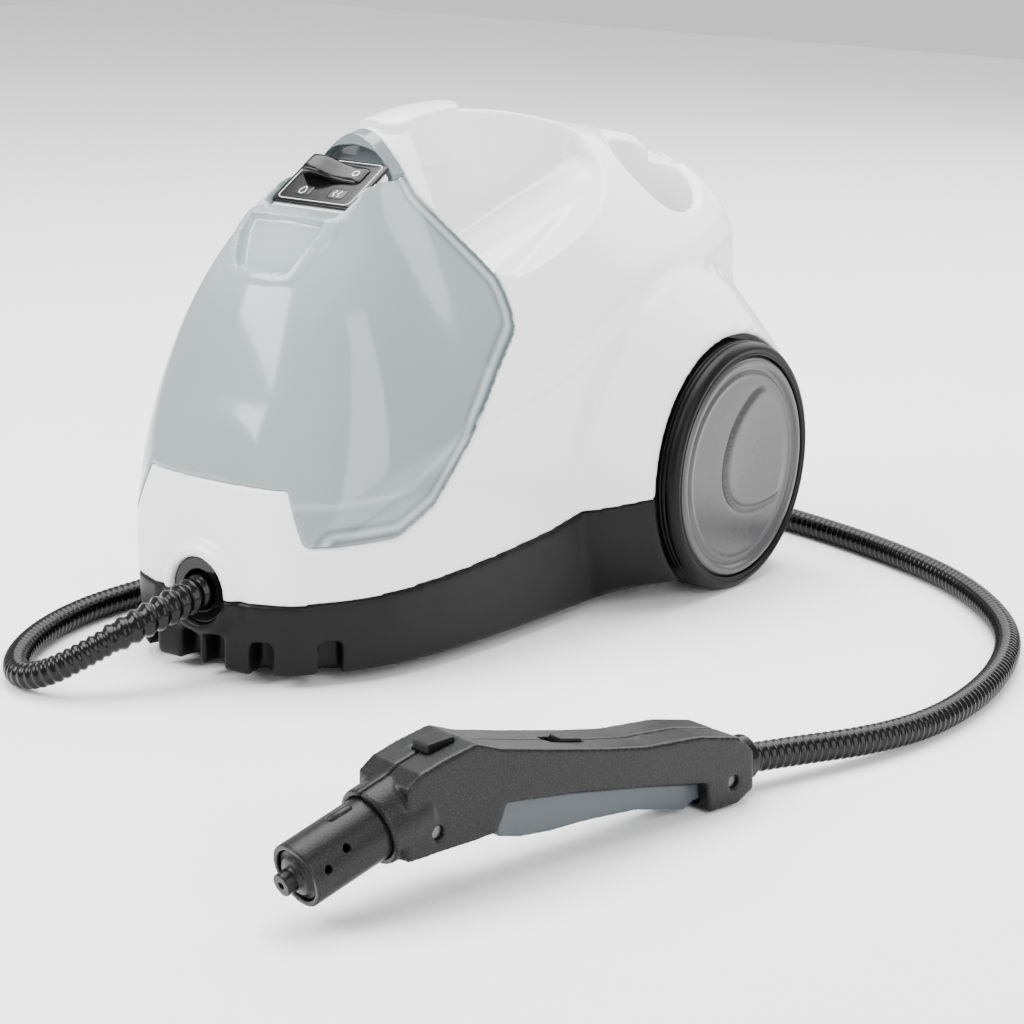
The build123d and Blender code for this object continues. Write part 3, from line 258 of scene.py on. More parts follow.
def combine(target, cutter, operation="DIFFERENCE"):
    """One boolean, applied at once; the cutter is used up.

    Where too little is left, it is tried again with the cutter moved by a hair. If no try leaves enough,
    the target stays as it was, with nothing but a printed line to say so.
    """
    before = target.data.copy()
    least = LEAST_SHARED if operation == "INTERSECT" else LEAST_LEFT
    needed = least * min(volume(target), volume(cutter) if operation == "INTERSECT" else 1.0)
    for nudge in NUDGES:
        cutter.location = Vector((nudge, 0.7 * nudge, 0.4 * nudge)) * MM
        modifier = target.modifiers.new("cut", "BOOLEAN")
        modifier.operation = operation
        modifier.solver = "EXACT"
        modifier.object = cutter
        apply_modifiers(target)
        if volume(target) > needed:
            break
        print("retry", target.name, cutter.name, operation)
        target.data = before.copy()
    discard(cutter)


def clone(obj, name):
    copy = obj.copy()
    copy.data = obj.data.copy()
    copy.name = name
    bpy.context.scene.collection.objects.link(copy)
    return copy


def soften(obj, voxel, rounds, factor=0.5):
    """Remesh into even small faces and smooth them, which rounds every edge like a moulding."""
    remesh = obj.modifiers.new("even", "REMESH")
    remesh.mode = "VOXEL"
    remesh.voxel_size = voxel * MM * 1.0
    remesh.use_smooth_shade = True
    smooth = obj.modifiers.new("round", "SMOOTH")
    smooth.iterations = rounds
    smooth.factor = factor
    apply_modifiers(obj)
    obj.data.polygons.foreach_set("use_smooth", [True] * len(obj.data.polygons))


def prism(name, outline, plane, start, end):
    """A closed prism: the outline in the plane's two axes, from start to end along the third."""
    count = len(outline)
    place = {
        "yz": lambda a, b, c: (c, a, b),
        "xy": lambda a, b, c: (a, b, c),
        "xz": lambda a, b, c: (a, c, b),
    }[plane]
    points = [Vector(place(a, b, start)) * MM for a, b in outline]
    points += [Vector(place(a, b, end)) * MM for a, b in outline]
    faces = [[i, (i + 1) % count, count + (i + 1) % count, count + i] for i in range(count)]
    faces += [list(range(count))[::-1], [count + i for i in range(count)]]
    obj = mesh_object(name, points, faces)
    fix_normals(obj)
    return obj


def fix_normals(obj):
    work = bmesh.new()
    work.from_mesh(obj.data)
    bmesh.ops.recalc_face_normals(work, faces=work.faces)
    work.to_mesh(obj.data)
    work.free()


def box(name, x, y, z):
    return prism(name, [(x[0], y[0]), (x[1], y[0]), (x[1], y[1]), (x[0], y[1])], "xy", z[0], z[1])


def circle(radius, centre=(0, 0), count=64, squash=1.0, turn=0.0):
    points = []
    for i in range(count):
        angle = 2 * math.pi * i / count
        a, b = radius * math.cos(angle), radius * squash * math.sin(angle)
        c, s = math.cos(turn), math.sin(turn)
        points.append((centre[0] + a * c - b * s, centre[1] + a * s + b * c))
    return points


def smooth_loop(points, steps=8, closed=True):
    """A Catmull-Rom curve through the points."""
    count = len(points)
    result = []
    spans = count if closed else count - 1
    for i in range(spans):
        if closed:
            p = [np.array(points[(i + k) % count], float) for k in (-1, 0, 1, 2)]
        else:
            p = [np.array(points[min(max(i + k, 0), count - 1)], float) for k in (-1, 0, 1, 2)]
        for step in range(steps):
            t = step / steps
            value = 0.5 * (
                2 * p[1]
                + (p[2] - p[0]) * t
                + (2 * p[0] - 5 * p[1] + 4 * p[2] - p[3]) * t**2
                + (3 * p[1] - 3 * p[2] + p[3] - p[0]) * t**3
            )
            result.append(tuple(value))
    if not closed:
        result.append(tuple(points[-1]))
    return result


def revolve(name, outline, origin, axis, count=128):
    """Turn an outline of (along, radius) in mm about an axis through origin."""
    axis = Vector(axis).normalized()
    side = axis.orthogonal().normalized()
    up = axis.cross(side)
    points, faces = [], []
    rings = len(outline)
    for i in range(count):
        angle = 2 * math.pi * i / count
        out = side * math.cos(angle) + up * math.sin(angle)
        for along, radius in outline:
            points.append((Vector(origin) + axis * along + out * radius) * MM)
    for i in range(count):
        for j in range(rings):
            a, b = i * rings + j, i * rings + (j + 1) % rings
            c, d = ((i + 1) % count) * rings + (j + 1) % rings, ((i + 1) % count) * rings + j
            faces.append((a, b, c, d))
    obj = mesh_object(name, points, faces)
    fix_normals(obj)
    return obj


def finish_piece(obj, body, slot, *nodes):
    obj.data.materials.clear()
    obj.data.materials.append(MATERIALS[slot])
    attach(obj, body)
    if nodes:
        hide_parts(*nodes)
    return obj


def ease(value):
    value = np.clip(value, 0, 1)
    return value * value * (3 - 2 * value)


# ---------------------------------------------------------------- hose
HOSE_ROUTE = [
    (0, -186, 45), (2, -212, 42), (-6, -238, 33), (-22, -256, 20), (-37, -264, 11),
    (-54, -264, 7.2), (-72, -249, 7.2), (-90, -221, 7.2), (-103, -188, 7.2), (-110, -150, 7.2),
    (-108, -100, 7.2), (-120, -50, 7.2), (-142, 0, 7.2), (-150, 60, 7.2), (-151, 115, 7.2),
    (-143, 165, 7.2), (-120, 210, 7.2), (-75, 243, 7.2), (-15, 257, 7.2), (50, 250, 7.2),
    (115, 234, 7.2), (170, 214, 7.2), (222, 187, 7.2), (264, 151, 7.2), (296, 110, 7.2),
    (316, 64, 7.2), (328, 14, 7.2), (331, -38, 7.2), (323, -84, 9), (308, -125, 12),
    (295, -163.3, 14.5),
]
SLEEVE_LENGTH = 62.0


def route_line(route):
    """Points in mm along the NURBS spline that the route's points control."""
    data = bpy.data.curves.new("hose_line", "CURVE")
    data.dimensions = "3D"
    spline = data.splines.new("NURBS")
    spline.points.add(len(route) - 1)
    for point, place in zip(spline.points, route):
        point.co = (*place, 1)
    spline.order_u = 3
    spline.use_endpoint_u = True
    spline.resolution_u = 24
    line = bpy.data.objects.new("hose_line", data)
    mesh = bpy.data.meshes.new_from_object(line)
    points = np.array([tuple(vertex.co) for vertex in mesh.vertices])
    bpy.data.objects.remove(line)
    bpy.data.curves.remove(data)
    bpy.data.meshes.remove(mesh)
    return points


def resample(points, distances):
    steps = np.linalg.norm(np.diff(points, axis=0), axis=1)
    travelled = np.concatenate([[0], np.cumsum(steps)])
    return np.stack([np.interp(distances, travelled, points[:, k]) for k in range(3)], axis=1)


def line_length(points):
    return float(np.linalg.norm(np.diff(points, axis=0), axis=1).sum())


def tube(name, line, distances, radius, sides=20):
    """A tube along a line, with a radius for each distance and angle, closed by a cap at each end."""
    centres = resample(line, distances)
    ahead = resample(line, distances + 0.8) - resample(line, distances - 0.8)
    ahead /= np.linalg.norm(ahead, axis=1)[:, None]
    side = Vector((1, 0, 0))
    points, faces = [], []
    for centre, forward, distance in zip(centres, ahead, distances):
        forward = Vector(forward)
        side = (side - forward * side.dot(forward)).normalized()
        up = forward.cross(side)
        for k in range(sides):
            angle = 2 * math.pi * k / sides
            out = side * math.cos(angle) + up * math.sin(angle)
            points.append((Vector(centre) + out * radius(distance, angle)) * MM)
    rings = len(distances)
    for i in range(rings - 1):
        for k in range(sides):
            a, b = i * sides + k, i * sides + (k + 1) % sides
            faces.append((a, b, b + sides, a + sides))
    faces.append(tuple(range(sides))[::-1])
    faces.append(tuple((rings - 1) * sides + k for k in range(sides)))
    return mesh_object(name, points, faces)


def make_hose():
    line = route_line(HOSE_ROUTE)
    length = line_length(line)
    pitch = 4.4

    def ribbed(distance, angle):
        wave = 0.5 + 0.5 * math.cos(2 * math.pi * distance / pitch)
        return 5.95 + 1.05 * wave**0.6

    def coarse(distance, angle):
        wave = 0.5 + 0.5 * math.cos(2 * math.pi * distance / 7.0 + angle)
        taper = 1.0 - 0.16 * distance / SLEEVE_LENGTH
        return (7.6 + 1.7 * wave**0.8) * taper

    hose = tube("ribbed_hose", line, np.arange(0.8, length - 0.8, pitch / 6), ribbed)
    finish_piece(hose, "root", "hose_black", "steam_hose")
    sleeve = tube("hose_bend_guard", line, np.arange(1.0, SLEEVE_LENGTH, 0.7), coarse, 32)
    finish_piece(sleeve, "root", "hose_black", "hose_sleeve")


# ---------------------------------------------------------------- body form
# y, half width at the bottom, half width at the shoulder, shoulder z, crest z, fullness in front and behind
STATIONS = np.array([
    (-190, 30, 31, 42, 62, 0.50, 0.50),
    (-183, 45, 48, 56, 102, 0.52, 0.50),
    (-168, 58, 63, 70, 146, 0.54, 0.50),
    (-140, 74, 79, 92, 210, 0.52, 0.40),
    (-105, 83, 87, 113, 247, 0.42, 0.22),
    (-60, 87, 91, 131, 262, 0.32, 0.02),
    (-10, 88, 92, 146, 267, 0.50, 0.06),
    (45, 88, 91, 163, 263, 0.58, 0.08),
    (110, 87, 84, 184, 251, 0.36, 0.03),
    (148, 86, 80, 192, 244, 0.28, 0.02),
    (186, 84, 74, 201, 237, 0.50, 0.20),
])
FLOOR_Z = 6.0
TAIL_Y = 186.0
TAIL_ROUND = 14.0
WHEEL_Y, WHEEL_Z = 117.5, 69.7
PARTING = [(-230, 42), (-150, 44), (-80, 49), (-15, 54), (42, 64), (62, 79), (230, 79)]
TANK_SIDE = [
    (-240, 72.6), (-240, 320), (-61, 320), (-61, 232), (-37, 197), (-32.5, 190), (-31, 182),
    (-31, 171), (-33, 163), (-38, 158), (-78, 125), (-109, 87), (-132, 74), (-163, 72.6),
]
CORE_SIDE = [(-128, 30), (-128, 112), (-98, 172), (-78, 186), (40, 186), (40, 30)]
HUMP = [(-56, 30), (-56, 72), (-45, 100), (45, 100), (56, 72), (56, 30)]
SCOOP_RIM = [
    (8, -35), (20, -45), (38, -53), (52, -55), (60, -47), (66, -32), (71, -15), (72.5, 8), (72, 33),
    (68, 53), (60, 75), (45, 92), (27, 102), (12, 96), (7, 60), (6, 10),
]
POCKET = (36.0, 149.0, 24.0, 176.0)
NOTCHES = [(8, -189, 0), (36, -185, 14), (62, -163, 52)]


def station(y):
    """The section's numbers at y, on smooth curves through the stations."""
    ys = STATIONS[:, 0]
    i = int(np.clip(np.searchsorted(ys, y) - 1, 0, len(ys) - 2))
    slopes = np.gradient(STATIONS[:, 1:], ys, axis=0)
    h = ys[i + 1] - ys[i]
    t = (y - ys[i]) / h
    return (
        (2 * t**3 - 3 * t**2 + 1) * STATIONS[i, 1:]
        + (t**3 - 2 * t**2 + t) * h * slopes[i]
        + (3 * t**2 - 2 * t**3) * STATIONS[i + 1, 1:]
        + (t**3 - t**2) * h * slopes[i + 1]
    )


def half_section(y):
    """Points (x, z) from the middle of the underside round to the crest."""
    bottom, shoulder, low, crest, fore, aft = station(y)
    band = float(ease((y + 112) / 100))
    points = [(bottom * k / 12, FLOOR_Z) for k in range(12)]
    points += [(bottom - 2.5, FLOOR_Z), (bottom - 0.8, FLOOR_Z + 0.8), (bottom, FLOOR_Z + 2.5)]
    side_top = low - 11 * band
    for k in range(1, 31):
        t = k / 30
        points.append((bottom + (shoulder - bottom) * t, FLOOR_Z + 2.5 + (side_top - FLOOR_Z - 2.5) * t))
    neck = shoulder - 5.5 * band
    for k in range(1, 6):
        t = k / 5
        points.append((shoulder + (neck - shoulder) * t, side_top + (low - side_top) * t))
    for k in range(1, 49):
        t = k / 48
        x = neck * (1 - t) ** 3 + 3 * neck * t * (1 - t) ** 2 + 3 * fore * neck * t**2 * (1 - t)
        bend = low + aft * (crest - low)
        z = low * (1 - t) ** 3 + 3 * bend * t * (1 - t) ** 2 + 3 * crest * t**2 * (1 - t) + crest * t**3
        points.append((x, z))
    points[-1] = (0.0, crest)
    return np.array(points)


def flared(points):
    """Draws the flank out over the wheel, from a crisp crease to the lip of the well."""
    y, z = points[:, 1], points[:, 2]
    reach = np.hypot(y - WHEEL_Y, z - WHEEL_Z)
    along = np.clip((106 - reach) / 31, 0, 1) ** 0.85
    side = np.clip((np.abs(points[:, 0]) - 60) / 20, 0, 1) * np.clip((z - FLOOR_Z) / 6, 0, 1)
    out = 116.0 - np.abs(points[:, 0])
    points[:, 0] += np.sign(points[:, 0]) * np.maximum(out, 0) * along * side
    return points


def body_form(name, grow=0.0):
    """The closed outer form, grown by a few mm where asked."""
    rows = list(np.arange(-190.0, TAIL_Y - TAIL_ROUND, 2.0))
    sections = [(y, half_section(y), 0.0) for y in rows]
    for k in range(1, 11):
        angle = k / 10 * math.pi / 2
        y = TAIL_Y - TAIL_ROUND + TAIL_ROUND * math.sin(angle)
        sections.append((y, half_section(min(y, 186.0)), TAIL_ROUND * (1 - math.cos(angle)) * 0.8))
    points = []
    for y, section, inset in sections:
        x, z = section[:, 0].copy(), section[:, 1].copy()
        x *= 1 - inset / 90 + grow / 90
        z = np.where(z > 110, z - inset * (z - 110) / 110, z)
        z = np.where(z > 60, z + grow * np.minimum((z - 60) / 60, 1), z)
        ring = [(x[k], y, z[k]) for k in range(len(x))]
        ring += [(-x[k], y, z[k]) for k in range(len(x) - 2, 0, -1)]
        points += ring
    across = len(points) // len(sections)
    points = flared(np.array(points))
    faces = []
    for i in range(len(sections) - 1):
        for k in range(across):
            a, b = i * across + k, i * across + (k + 1) % across
            faces.append((a, b, b + across, a + across))
    faces.append(tuple(range(across)))
    faces.append(tuple((len(sections) - 1) * across + k for k in range(across))[::-1])
    obj = mesh_object(name, points * MM, faces)
    fix_normals(obj)
    return obj


def below_parting():
    return prism("below", PARTING + [(230, -20), (-230, -20)], "yz", -150, 150)


def y_round(name, radius, x, z, start, end):
    return prism(name, circle(radius, (x, z), 72), "xz", start, end)


def x_round(name, radius, y, z, start, end):
    return prism(name, circle(radius, (y, z), 128), "yz", start, end)


def z_round(name, radius, x, y, start, end, squash=1.0):
    return prism(name, circle(radius, (x, y), 96, squash), "xy", start, end)


def tank_zone():
    zone = prism("tank_zone", TANK_SIDE, "yz", -140, 140)
    combine(zone, prism("core", CORE_SIDE, "yz", -50, 50))
    combine(zone, prism("hump", HUMP, "xz", -260, -100))
    combine(zone, box("console", (-26, 26), (-108, 10), (190, 330)))
    return zone


def scoop_cutter(side):
    """The hollow beside the ridge: a rounded floor that rises to the front and to the tail."""
    rim = smooth_loop(SCOOP_RIM, 8)
    middle = np.mean(rim, axis=0)
    levels = [(0.80, 0.0), (0.90, 1.6), (0.965, 5.0), (0.99, 12.0), (1.0, 130.0)]
    points, faces = [], []
    for scale, lift in levels:
        for x, y in rim:
            px, py = middle + (np.array((x, y)) - middle) * scale
            floor = 189 + 0.12 * (72 - px) + 0.31 * (py + 8) + max(0.0, -20 - py) * 0.55
            points.append(Vector((side * px, py, floor + lift if lift < 100 else 330)) * MM)
    count = len(rim)
    for i in range(len(levels) - 1):
        for k in range(count):
            a, b = i * count + k, i * count + (k + 1) % count
            faces.append((a, b, b + count, a + count))
    faces.append(tuple(range(count))[::-1])
    faces.append(tuple((len(levels) - 1) * count + k for k in range(count)))
    cutter = mesh_object("scoop", points, faces)
    fix_normals(cutter)
    return cutter


def ring_cutter(radius, thick, x, y):
    """Meant as a thin ring, but combine() turns its bore down as leaving too little: a full cylinder."""
    ring = z_round("ring", radius + thick, x, y, 150, 330)
    combine(ring, z_round("ring_bore", radius, x, y, 140, 340))
    return ring


def panel_point(along, lift=0.0):
    """A point (y, z) on the sloping control panel's line."""
    slope = math.radians(30)
    return (
        -104 + along * math.cos(slope) - lift * math.sin(slope),
        227.5 + along * math.sin(slope) + lift * math.cos(slope),
    )


CASTOR_Y = -118
CASTOR_WELL_R = 28
CASTOR_BORE_R = 4.6


def cut_casing(form):
    """What is added to and cut from the whole form: the lip round the hose port, the wheel wells and the
    hose port.
    """
    arch = revolve(
        "arch",
        [(3.6, 17), (4.0, 19.5), (3.0, 22.2), (0.6, 24.4), (-4, 25.6), (-12, 22), (-14, 17)],
        (0, -190, 45),
        (0, -1, 0),
    )
    combine(form, arch, "UNION")
    for side in (-1, 1):
        combine(form, x_round("well", 73, WHEEL_Y, WHEEL_Z, side * 84, side * 160))
    combine(form, y_round("port", 17.2, 0, 45, -230, -172))


def make_casing():
    form = body_form("form")
    cut_casing(form)
    tank = clone(form, "tank_shell")
    base = clone(form, "base_moulding")
    shell = form
    shell.name = "casing"

    combine(base, below_parting(), "INTERSECT")
    combine(base, z_round("castor_well", CASTOR_WELL_R, 0, CASTOR_Y, 0, 32))
    combine(base, z_round("castor_bore", CASTOR_BORE_R, 0, CASTOR_Y, 20, 70))
    for x, y, turn in NOTCHES:
        for side in (-1, 1):
            c, s = math.cos(math.radians(side * turn)), math.sin(math.radians(side * turn))
            corners = [(-6, -11), (6, -11), (6, 11), (-6, 11)]
            outline = [(side * x + a * c - b * s, y + a * s + b * c) for a, b in corners]
            combine(base, prism("notch", outline, "xy", -2, 23))
    combine(base, y_round("gland_hole", 7, 30, 40, 170, 200))
    soften(base, 1.5, 5)
    finish_piece(base, "root", "base_black", "base_pan")

    grown = body_form("grown", 1.5)
    sunk = body_form("sunk", -1.8)
    combine(shell, below_parting())
    combine(shell, tank_zone())
    for side in (-1, 1):
        combine(shell, scoop_cutter(side))
        x, y, radius, floor = POCKET
        rim = ring_cutter(radius, 2.4, side * x, y)
        combine(rim, clone(grown, "skin"), "INTERSECT")
        combine(shell, rim, "UNION")
        groove = ring_cutter(radius + 2.4, 2.2, side * x, y)
        combine(groove, clone(sunk, "skin"))
        combine(shell, groove)
        combine(shell, z_round("pocket", radius, side * x, y, floor, 330))
    combine(shell, z_round("rear_slot", 50, 0, 176, 224, 330, 0.16))
    hollow = [panel_point(-6, -0.2), panel_point(36.5, -0.2), (-72, 300), (-112, 300)]
    combine(shell, prism("panel_hollow", hollow, "yz", -26.5, 26.5))
    combine(shell, box("arch_room", (-26.2, 26.2), (-74, -61.4), (232, 300)))
    combine(shell, z_round("dock_hole", 10.4, 0, -148, 88, 106))
    soften(shell, 1.4, 5)
    finish_piece(shell, "root", "shell_white", "upper_shell")

    combine(tank, tank_zone(), "INTERSECT")
    make_tank(tank, grown)
    discard(sunk)
    make_tongue(grown)


# ---------------------------------------------------------------- water tank
GRIP_FRAME = Matrix.Translation((0, -138, 214)) @ Matrix((
    (1, 0, 0, 0),
    (0, 0.6, -0.8, 0),
    (0, 0.8, 0.6, 0),
    (0, 0, 0, 1),
))
GRIP_OUTLINE = [
    (-27, 15), (-22, 19), (22, 19), (27, 15), (26, 4),
    (20, -13), (14, -17), (-14, -17), (-20, -13), (-26, 4),
]


def grip_prism(name, grow, low, high, taper=1.0):
    """A rounded trapezoid prism square to the tank's front, in mm along its own axis."""
    outline = smooth_loop(GRIP_OUTLINE, 5)
    points, faces = [], []
    for level, scale in ((low, taper), (high, 1.0)):
        for a, b in outline:
            size = math.hypot(a, b)
            k = (size * scale + grow) / size
            points.append((GRIP_FRAME @ Vector((a * k, b * k, level))) * MM)
    count = len(outline)
    for k in range(count):
        a, b = k, (k + 1) % count
        faces.append((a, b, b + count, a + count))
    faces.append(tuple(range(count))[::-1])
    faces.append(tuple(count + k for k in range(count)))
    obj = mesh_object(name, points, faces)
    fix_normals(obj)
    return obj


def distance_to_line(points, line):
    """Each point's distance to a polyline in the same plane."""
    best = np.full(len(points), 1e9)
    for a, b in zip(line[:-1], line[1:]):
        a, b = np.array(a, float), np.array(b, float)
        t = np.clip(((points - a) @ (b - a)) / ((b - a) @ (b - a)), 0, 1)
        best = np.minimum(best, np.linalg.norm(points - (a + t[:, None] * (b - a)), axis=1))
    return best


def paint_tank(tank):
    """Stores how dark the plastic looks: its double flange is dark, its ribs are bright, painted shade
    darkens it towards the rear and the bottom, and a painted highlight lightens it round the grip.
    """
    places = np.empty(len(tank.data.vertices) * 3)
    tank.data.vertices.foreach_get("co", places)
    places = places.reshape(-1, 3) / MM
    x, y, z = np.abs(places[:, 0]), places[:, 1], places[:, 2]
    side = places[:, 1:]
    flange = distance_to_line(side, TANK_SIDE[2:])
    # Painted shade: the tank is made darker towards the rear and the bottom, away from the key light.
    tone = 0.44 + 0.13 * ease((y + 170) / 130) * ease((190 - z) / 110)
    tone += 0.42 * np.exp(-(((flange - 2.2) / 1.4) ** 2))
    tone -= 0.30 * np.exp(-(((flange - 5.6) / 1.3) ** 2))
    tone += 0.22 * np.exp(-(((flange - 8.6) / 1.2) ** 2))
    inner = distance_to_line(side, [(-200, 92), (-163, 93), (-128, 97), (-96, 118), (-62, 148)])
    tone -= 0.22 * np.exp(-((inner / 1.4) ** 2))
    # Painted highlight: the tank is made lighter round the grip at the front, where the key light falls.
    painted_highlight_at_grip = np.exp(-(((y + 138) / 34) ** 2 + ((z - 214) / 30) ** 2 + (x / 52) ** 2))
    tone -= 0.24 * painted_highlight_at_grip
    attribute = tank.data.attributes.new("edge", "FLOAT", "POINT")
    attribute.data.foreach_set("value", np.clip(tone, 0, 1).astype(np.float32))


def make_tank(tank, grown):
    lip = grip_prism("lip", 4.0, -14, 30)
    combine(lip, clone(grown, "skin"), "INTERSECT")
    combine(tank, lip, "UNION")
    ledge = [(-127, 226), (-123, 224.5), (-100, 227.6), (-100, 300), (-160, 300)]
    combine(tank, prism("ledge", ledge, "yz", -26.5, 26.5))
    combine(tank, grip_prism("grip", 0.0, -9, 40, 0.88))
    combine(tank, z_round("valve_room", 8.0, 0, -148, 60, 131))
    combine(tank, box("dock_room", (-15, 15), (-163, -133), (60, 101)))
    soften(tank, 1.25, 4)
    paint_tank(tank)
    finish_piece(tank, "tank", "tank_clear", "water_tank")


TONGUE_HALF = 12
TONGUE_TOP = 272.4


def make_tongue(grown):
    """The rounded slab on the crest, in line with the carry ridge."""
    outline = [(-TONGUE_HALF, -48), (-TONGUE_HALF, -4)]
    for angle in np.linspace(math.pi, 0, 17):
        outline.append((TONGUE_HALF * math.cos(angle), -4 + TONGUE_HALF * math.sin(angle)))
    outline += [(TONGUE_HALF, -48), (8, -57), (-8, -57)]
    slab = prism("tongue", outline, "xy", 240, TONGUE_TOP)
    combine(slab, clone_scaled(grown, 3.0), "INTERSECT")
    soften(slab, 0.8, 8)
    finish_piece(slab, "root", "shell_white", "carry_grip")
    discard(grown)


def clone_scaled(obj, lift):
    copy = clone(obj, "lifted")
    for vertex in copy.data.vertices:
        if vertex.co.z > 0.15:
            vertex.co.z += lift * MM
    return copy


# ---------------------------------------------------------------- control console
def on_panel(x, along, lift):
    """A point in metres from the panel's own x, distance up its slope and height above it."""
    y, z = panel_point(along, lift)
    return Vector((x, y, z)) * MM


def panel_slab(name, outline, low, high, dome=0.0):
    """A rounded plate that lies on the panel, with its edges turned down and its top domed."""
    middle = np.mean(np.array(outline), axis=0)
    rings = [(1.0, low), (1.0, high - 0.5), (0.985, high - 0.15), (0.94, high)]
    rings += [(scale, high + dome * (1 - scale**2)) for scale in (0.8, 0.6, 0.4, 0.2)]
    points, faces = [], []
    for scale, level in rings:
        for x, v in outline:
            px, pv = middle + (np.array((x, v)) - middle) * scale
            points.append(on_panel(px, pv, level))
    count = len(outline)
    for i in range(len(rings) - 1):
        for k in range(count):
            a, b = i * count + k, i * count + (k + 1) % count
            faces.append((a, b, b + count, a + count))
    faces.append(tuple(range(count))[::-1])
    faces.append(tuple((len(rings) - 1) * count + k for k in range(count)))
    return mesh_object(name, points, faces)


def rounded_box(width, height, radius, centre=(0, 0), steps=6):
    """An outline of a rectangle with round corners."""
    points = []
    for cx, cy, start in ((1, 1, 0), (-1, 1, 90), (-1, -1, 180), (1, -1, 270)):
        for k in range(steps + 1):
            angle = math.radians(start + 90 * k / steps)
            x = centre[0] + cx * (width / 2 - radius) + radius * math.cos(angle)
            y = centre[1] + cy * (height / 2 - radius) + radius * math.sin(angle)
            points.append((x, y))
    return points


def panel_stroke(name, path, width, lift, closed=True):
    """A thin raised line on the panel, along a path of (x, along)."""
    path = np.array(path, float)
    after = np.roll(path, -1, axis=0)
    before = np.roll(path, 1, axis=0)
    if not closed:
        after[-1], before[0] = path[-1], path[0]
    way = after - before
    way /= np.linalg.norm(way, axis=1)[:, None]
    across = np.stack([-way[:, 1], way[:, 0]], axis=1) * width / 2
    points, faces = [], []
    for spot, step in zip(path, across):
        points += [on_panel(*(spot + step), lift), on_panel(*(spot - step), lift)]
        points += [on_panel(*(spot - step), lift - 0.3), on_panel(*(spot + step), lift - 0.3)]
    count = len(path)
    for i in range(count if closed else count - 1):
        j = (i + 1) % count
        for k in range(4):
            a, b = i * 4 + k, i * 4 + (k + 1) % 4
            c, d = j * 4 + (k + 1) % 4, j * 4 + k
            faces.append((a, b, c, d))
    return mesh_object(name, points, faces, smooth=False)


def add_marks(parent_slot, body, *objects):
    for obj in objects:
        obj.data.materials.clear()
        obj.data.materials.append(WHITE_MARK)
        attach(obj, body)


def make_console():
    plate = panel_slab("control_plate", rounded_box(52.4, 37.6, 3, (0, 17.4)), 0.1, 1.7)
    finish_piece(plate, "root", "panel_dark", "control_panel")
    frame_line = panel_stroke("plate_edge", rounded_box(47, 33.5, 3.4, (0, 17.75)), 0.4, 1.9)
    lamps = []
    for number, x in enumerate((-11, 11)):
        window = rounded_box(10.8, 7.8, 1.6, (x, 8.5))
        lamps.append(panel_slab(f"lamp_{number}", window, 0.4, 2.0))
    finish_piece(lamps[0], "root", "lamp_clear", "status_lamps")
    finish_piece(lamps[1], "root", "lamp_clear")
    drop = smooth_loop([(-11, 11.2), (-12.8, 8.4), (-12.4, 6.4), (-11, 5.7), (-9.6, 6.4), (-9.2, 8.4)], 5)
    heat = [(11 + 0.7 * math.sin(t * 1.9), 6 + t) for t in np.linspace(0, 5, 16)]
    marks = [
        frame_line,
        panel_stroke("water_mark", drop, 0.45, 2.2),
        panel_stroke("heat_mark_a", [(x - 1.6, v) for x, v in heat], 0.45, 2.2, closed=False),
        panel_stroke("heat_mark_b", [(x + 1.6, v) for x, v in heat], 0.45, 2.2, closed=False),
    ]
    add_marks("panel_dark", "root", *marks)
    make_rocker()
    make_arch()


def make_rocker():
    """The power rocker: a block that stands up on the left, a dished blade on the right."""
    profile = [
        (-17.6, 1.6), (-16.8, 8.2), (-14.5, 9.2), (-8, 8.4), (-3, 6.6),
        (2, 4.9), (8, 3.9), (15, 3.4), (18, 2.2),
    ]
    top = smooth_loop(profile, 6, closed=False)
    count = 15
    points, faces = [], []
    for i in range(count):
        t = -1 + 2 * i / (count - 1)
        fall = 0.9 * abs(t) ** 6
        for x, lift in top:
            points.append(on_panel(x * (1 - 0.02 * abs(t) ** 6), 24 + 6.4 * t, lift - fall))
        for x in (17.0, -16.4):
            points.append(on_panel(x, 24 + 6.4 * t, -0.5))
    across = len(top) + 2
    for i in range(count - 1):
        for k in range(across):
            a, b = i * across + k, i * across + (k + 1) % across
            faces.append((a, b, b + across, a + across))
    faces.append(tuple(range(across))[::-1])
    faces.append(tuple((count - 1) * across + k for k in range(across)))
    rocker = mesh_object("power_rocker_blade", points, faces)
    fix_normals(rocker)
    finish_piece(rocker, "rocker", "panel_dark", "rocker_switch")
    bar = panel_stroke("on_mark", [(-13.6, 21.8), (-13.6, 26.2)], 0.9, 8.75, closed=False)
    ring = panel_stroke("off_mark", circle(1.9, (13.0, 24.0), 24), 0.6, 3.75)
    add_marks("panel_dark", "rocker", bar, ring)


def make_arch():
    """The clear rim that closes the console behind its panel."""
    grown = body_form("arch_form", 0.8)
    arch = box("console_arch", (-25.8, 25.8), (-71.4, -61.7), (232.3, 268))
    combine(arch, grown, "INTERSECT")
    opening = [(-22, 238), (-21, 245), (-14, 252), (0, 254.5), (14, 252), (21, 245), (22, 238), (0, 226)]
    hollow = smooth_loop(opening, 5)
    combine(arch, prism("arch_hollow", hollow, "xz", -90, -64))
    soften(arch, 0.6, 5)
    arch.data.attributes.new("edge", "FLOAT", "POINT")
    arch.data.attributes["edge"].data.foreach_set("value", [0.62] * len(arch.data.vertices))
    finish_piece(arch, "root", "tank_clear", "console_bezel")


# ---------------------------------------------------------------- wheels
SWIRL = [
    (44, 49), (22, 44), (4, 35), (-9, 22), (-16, 6),
    (-16, -8), (-9, -19), (4, -25), (22, -26), (44, -22),
]
TREAD_PITCH = 2.6
TREAD_DEPTH = 0.55


def tread_groove(x):
    """How deep the tyre's fine grooves go at this place across the tread."""
    return TREAD_DEPTH * (0.5 - 0.5 * math.cos(2 * math.pi * x / TREAD_PITCH)) ** 3


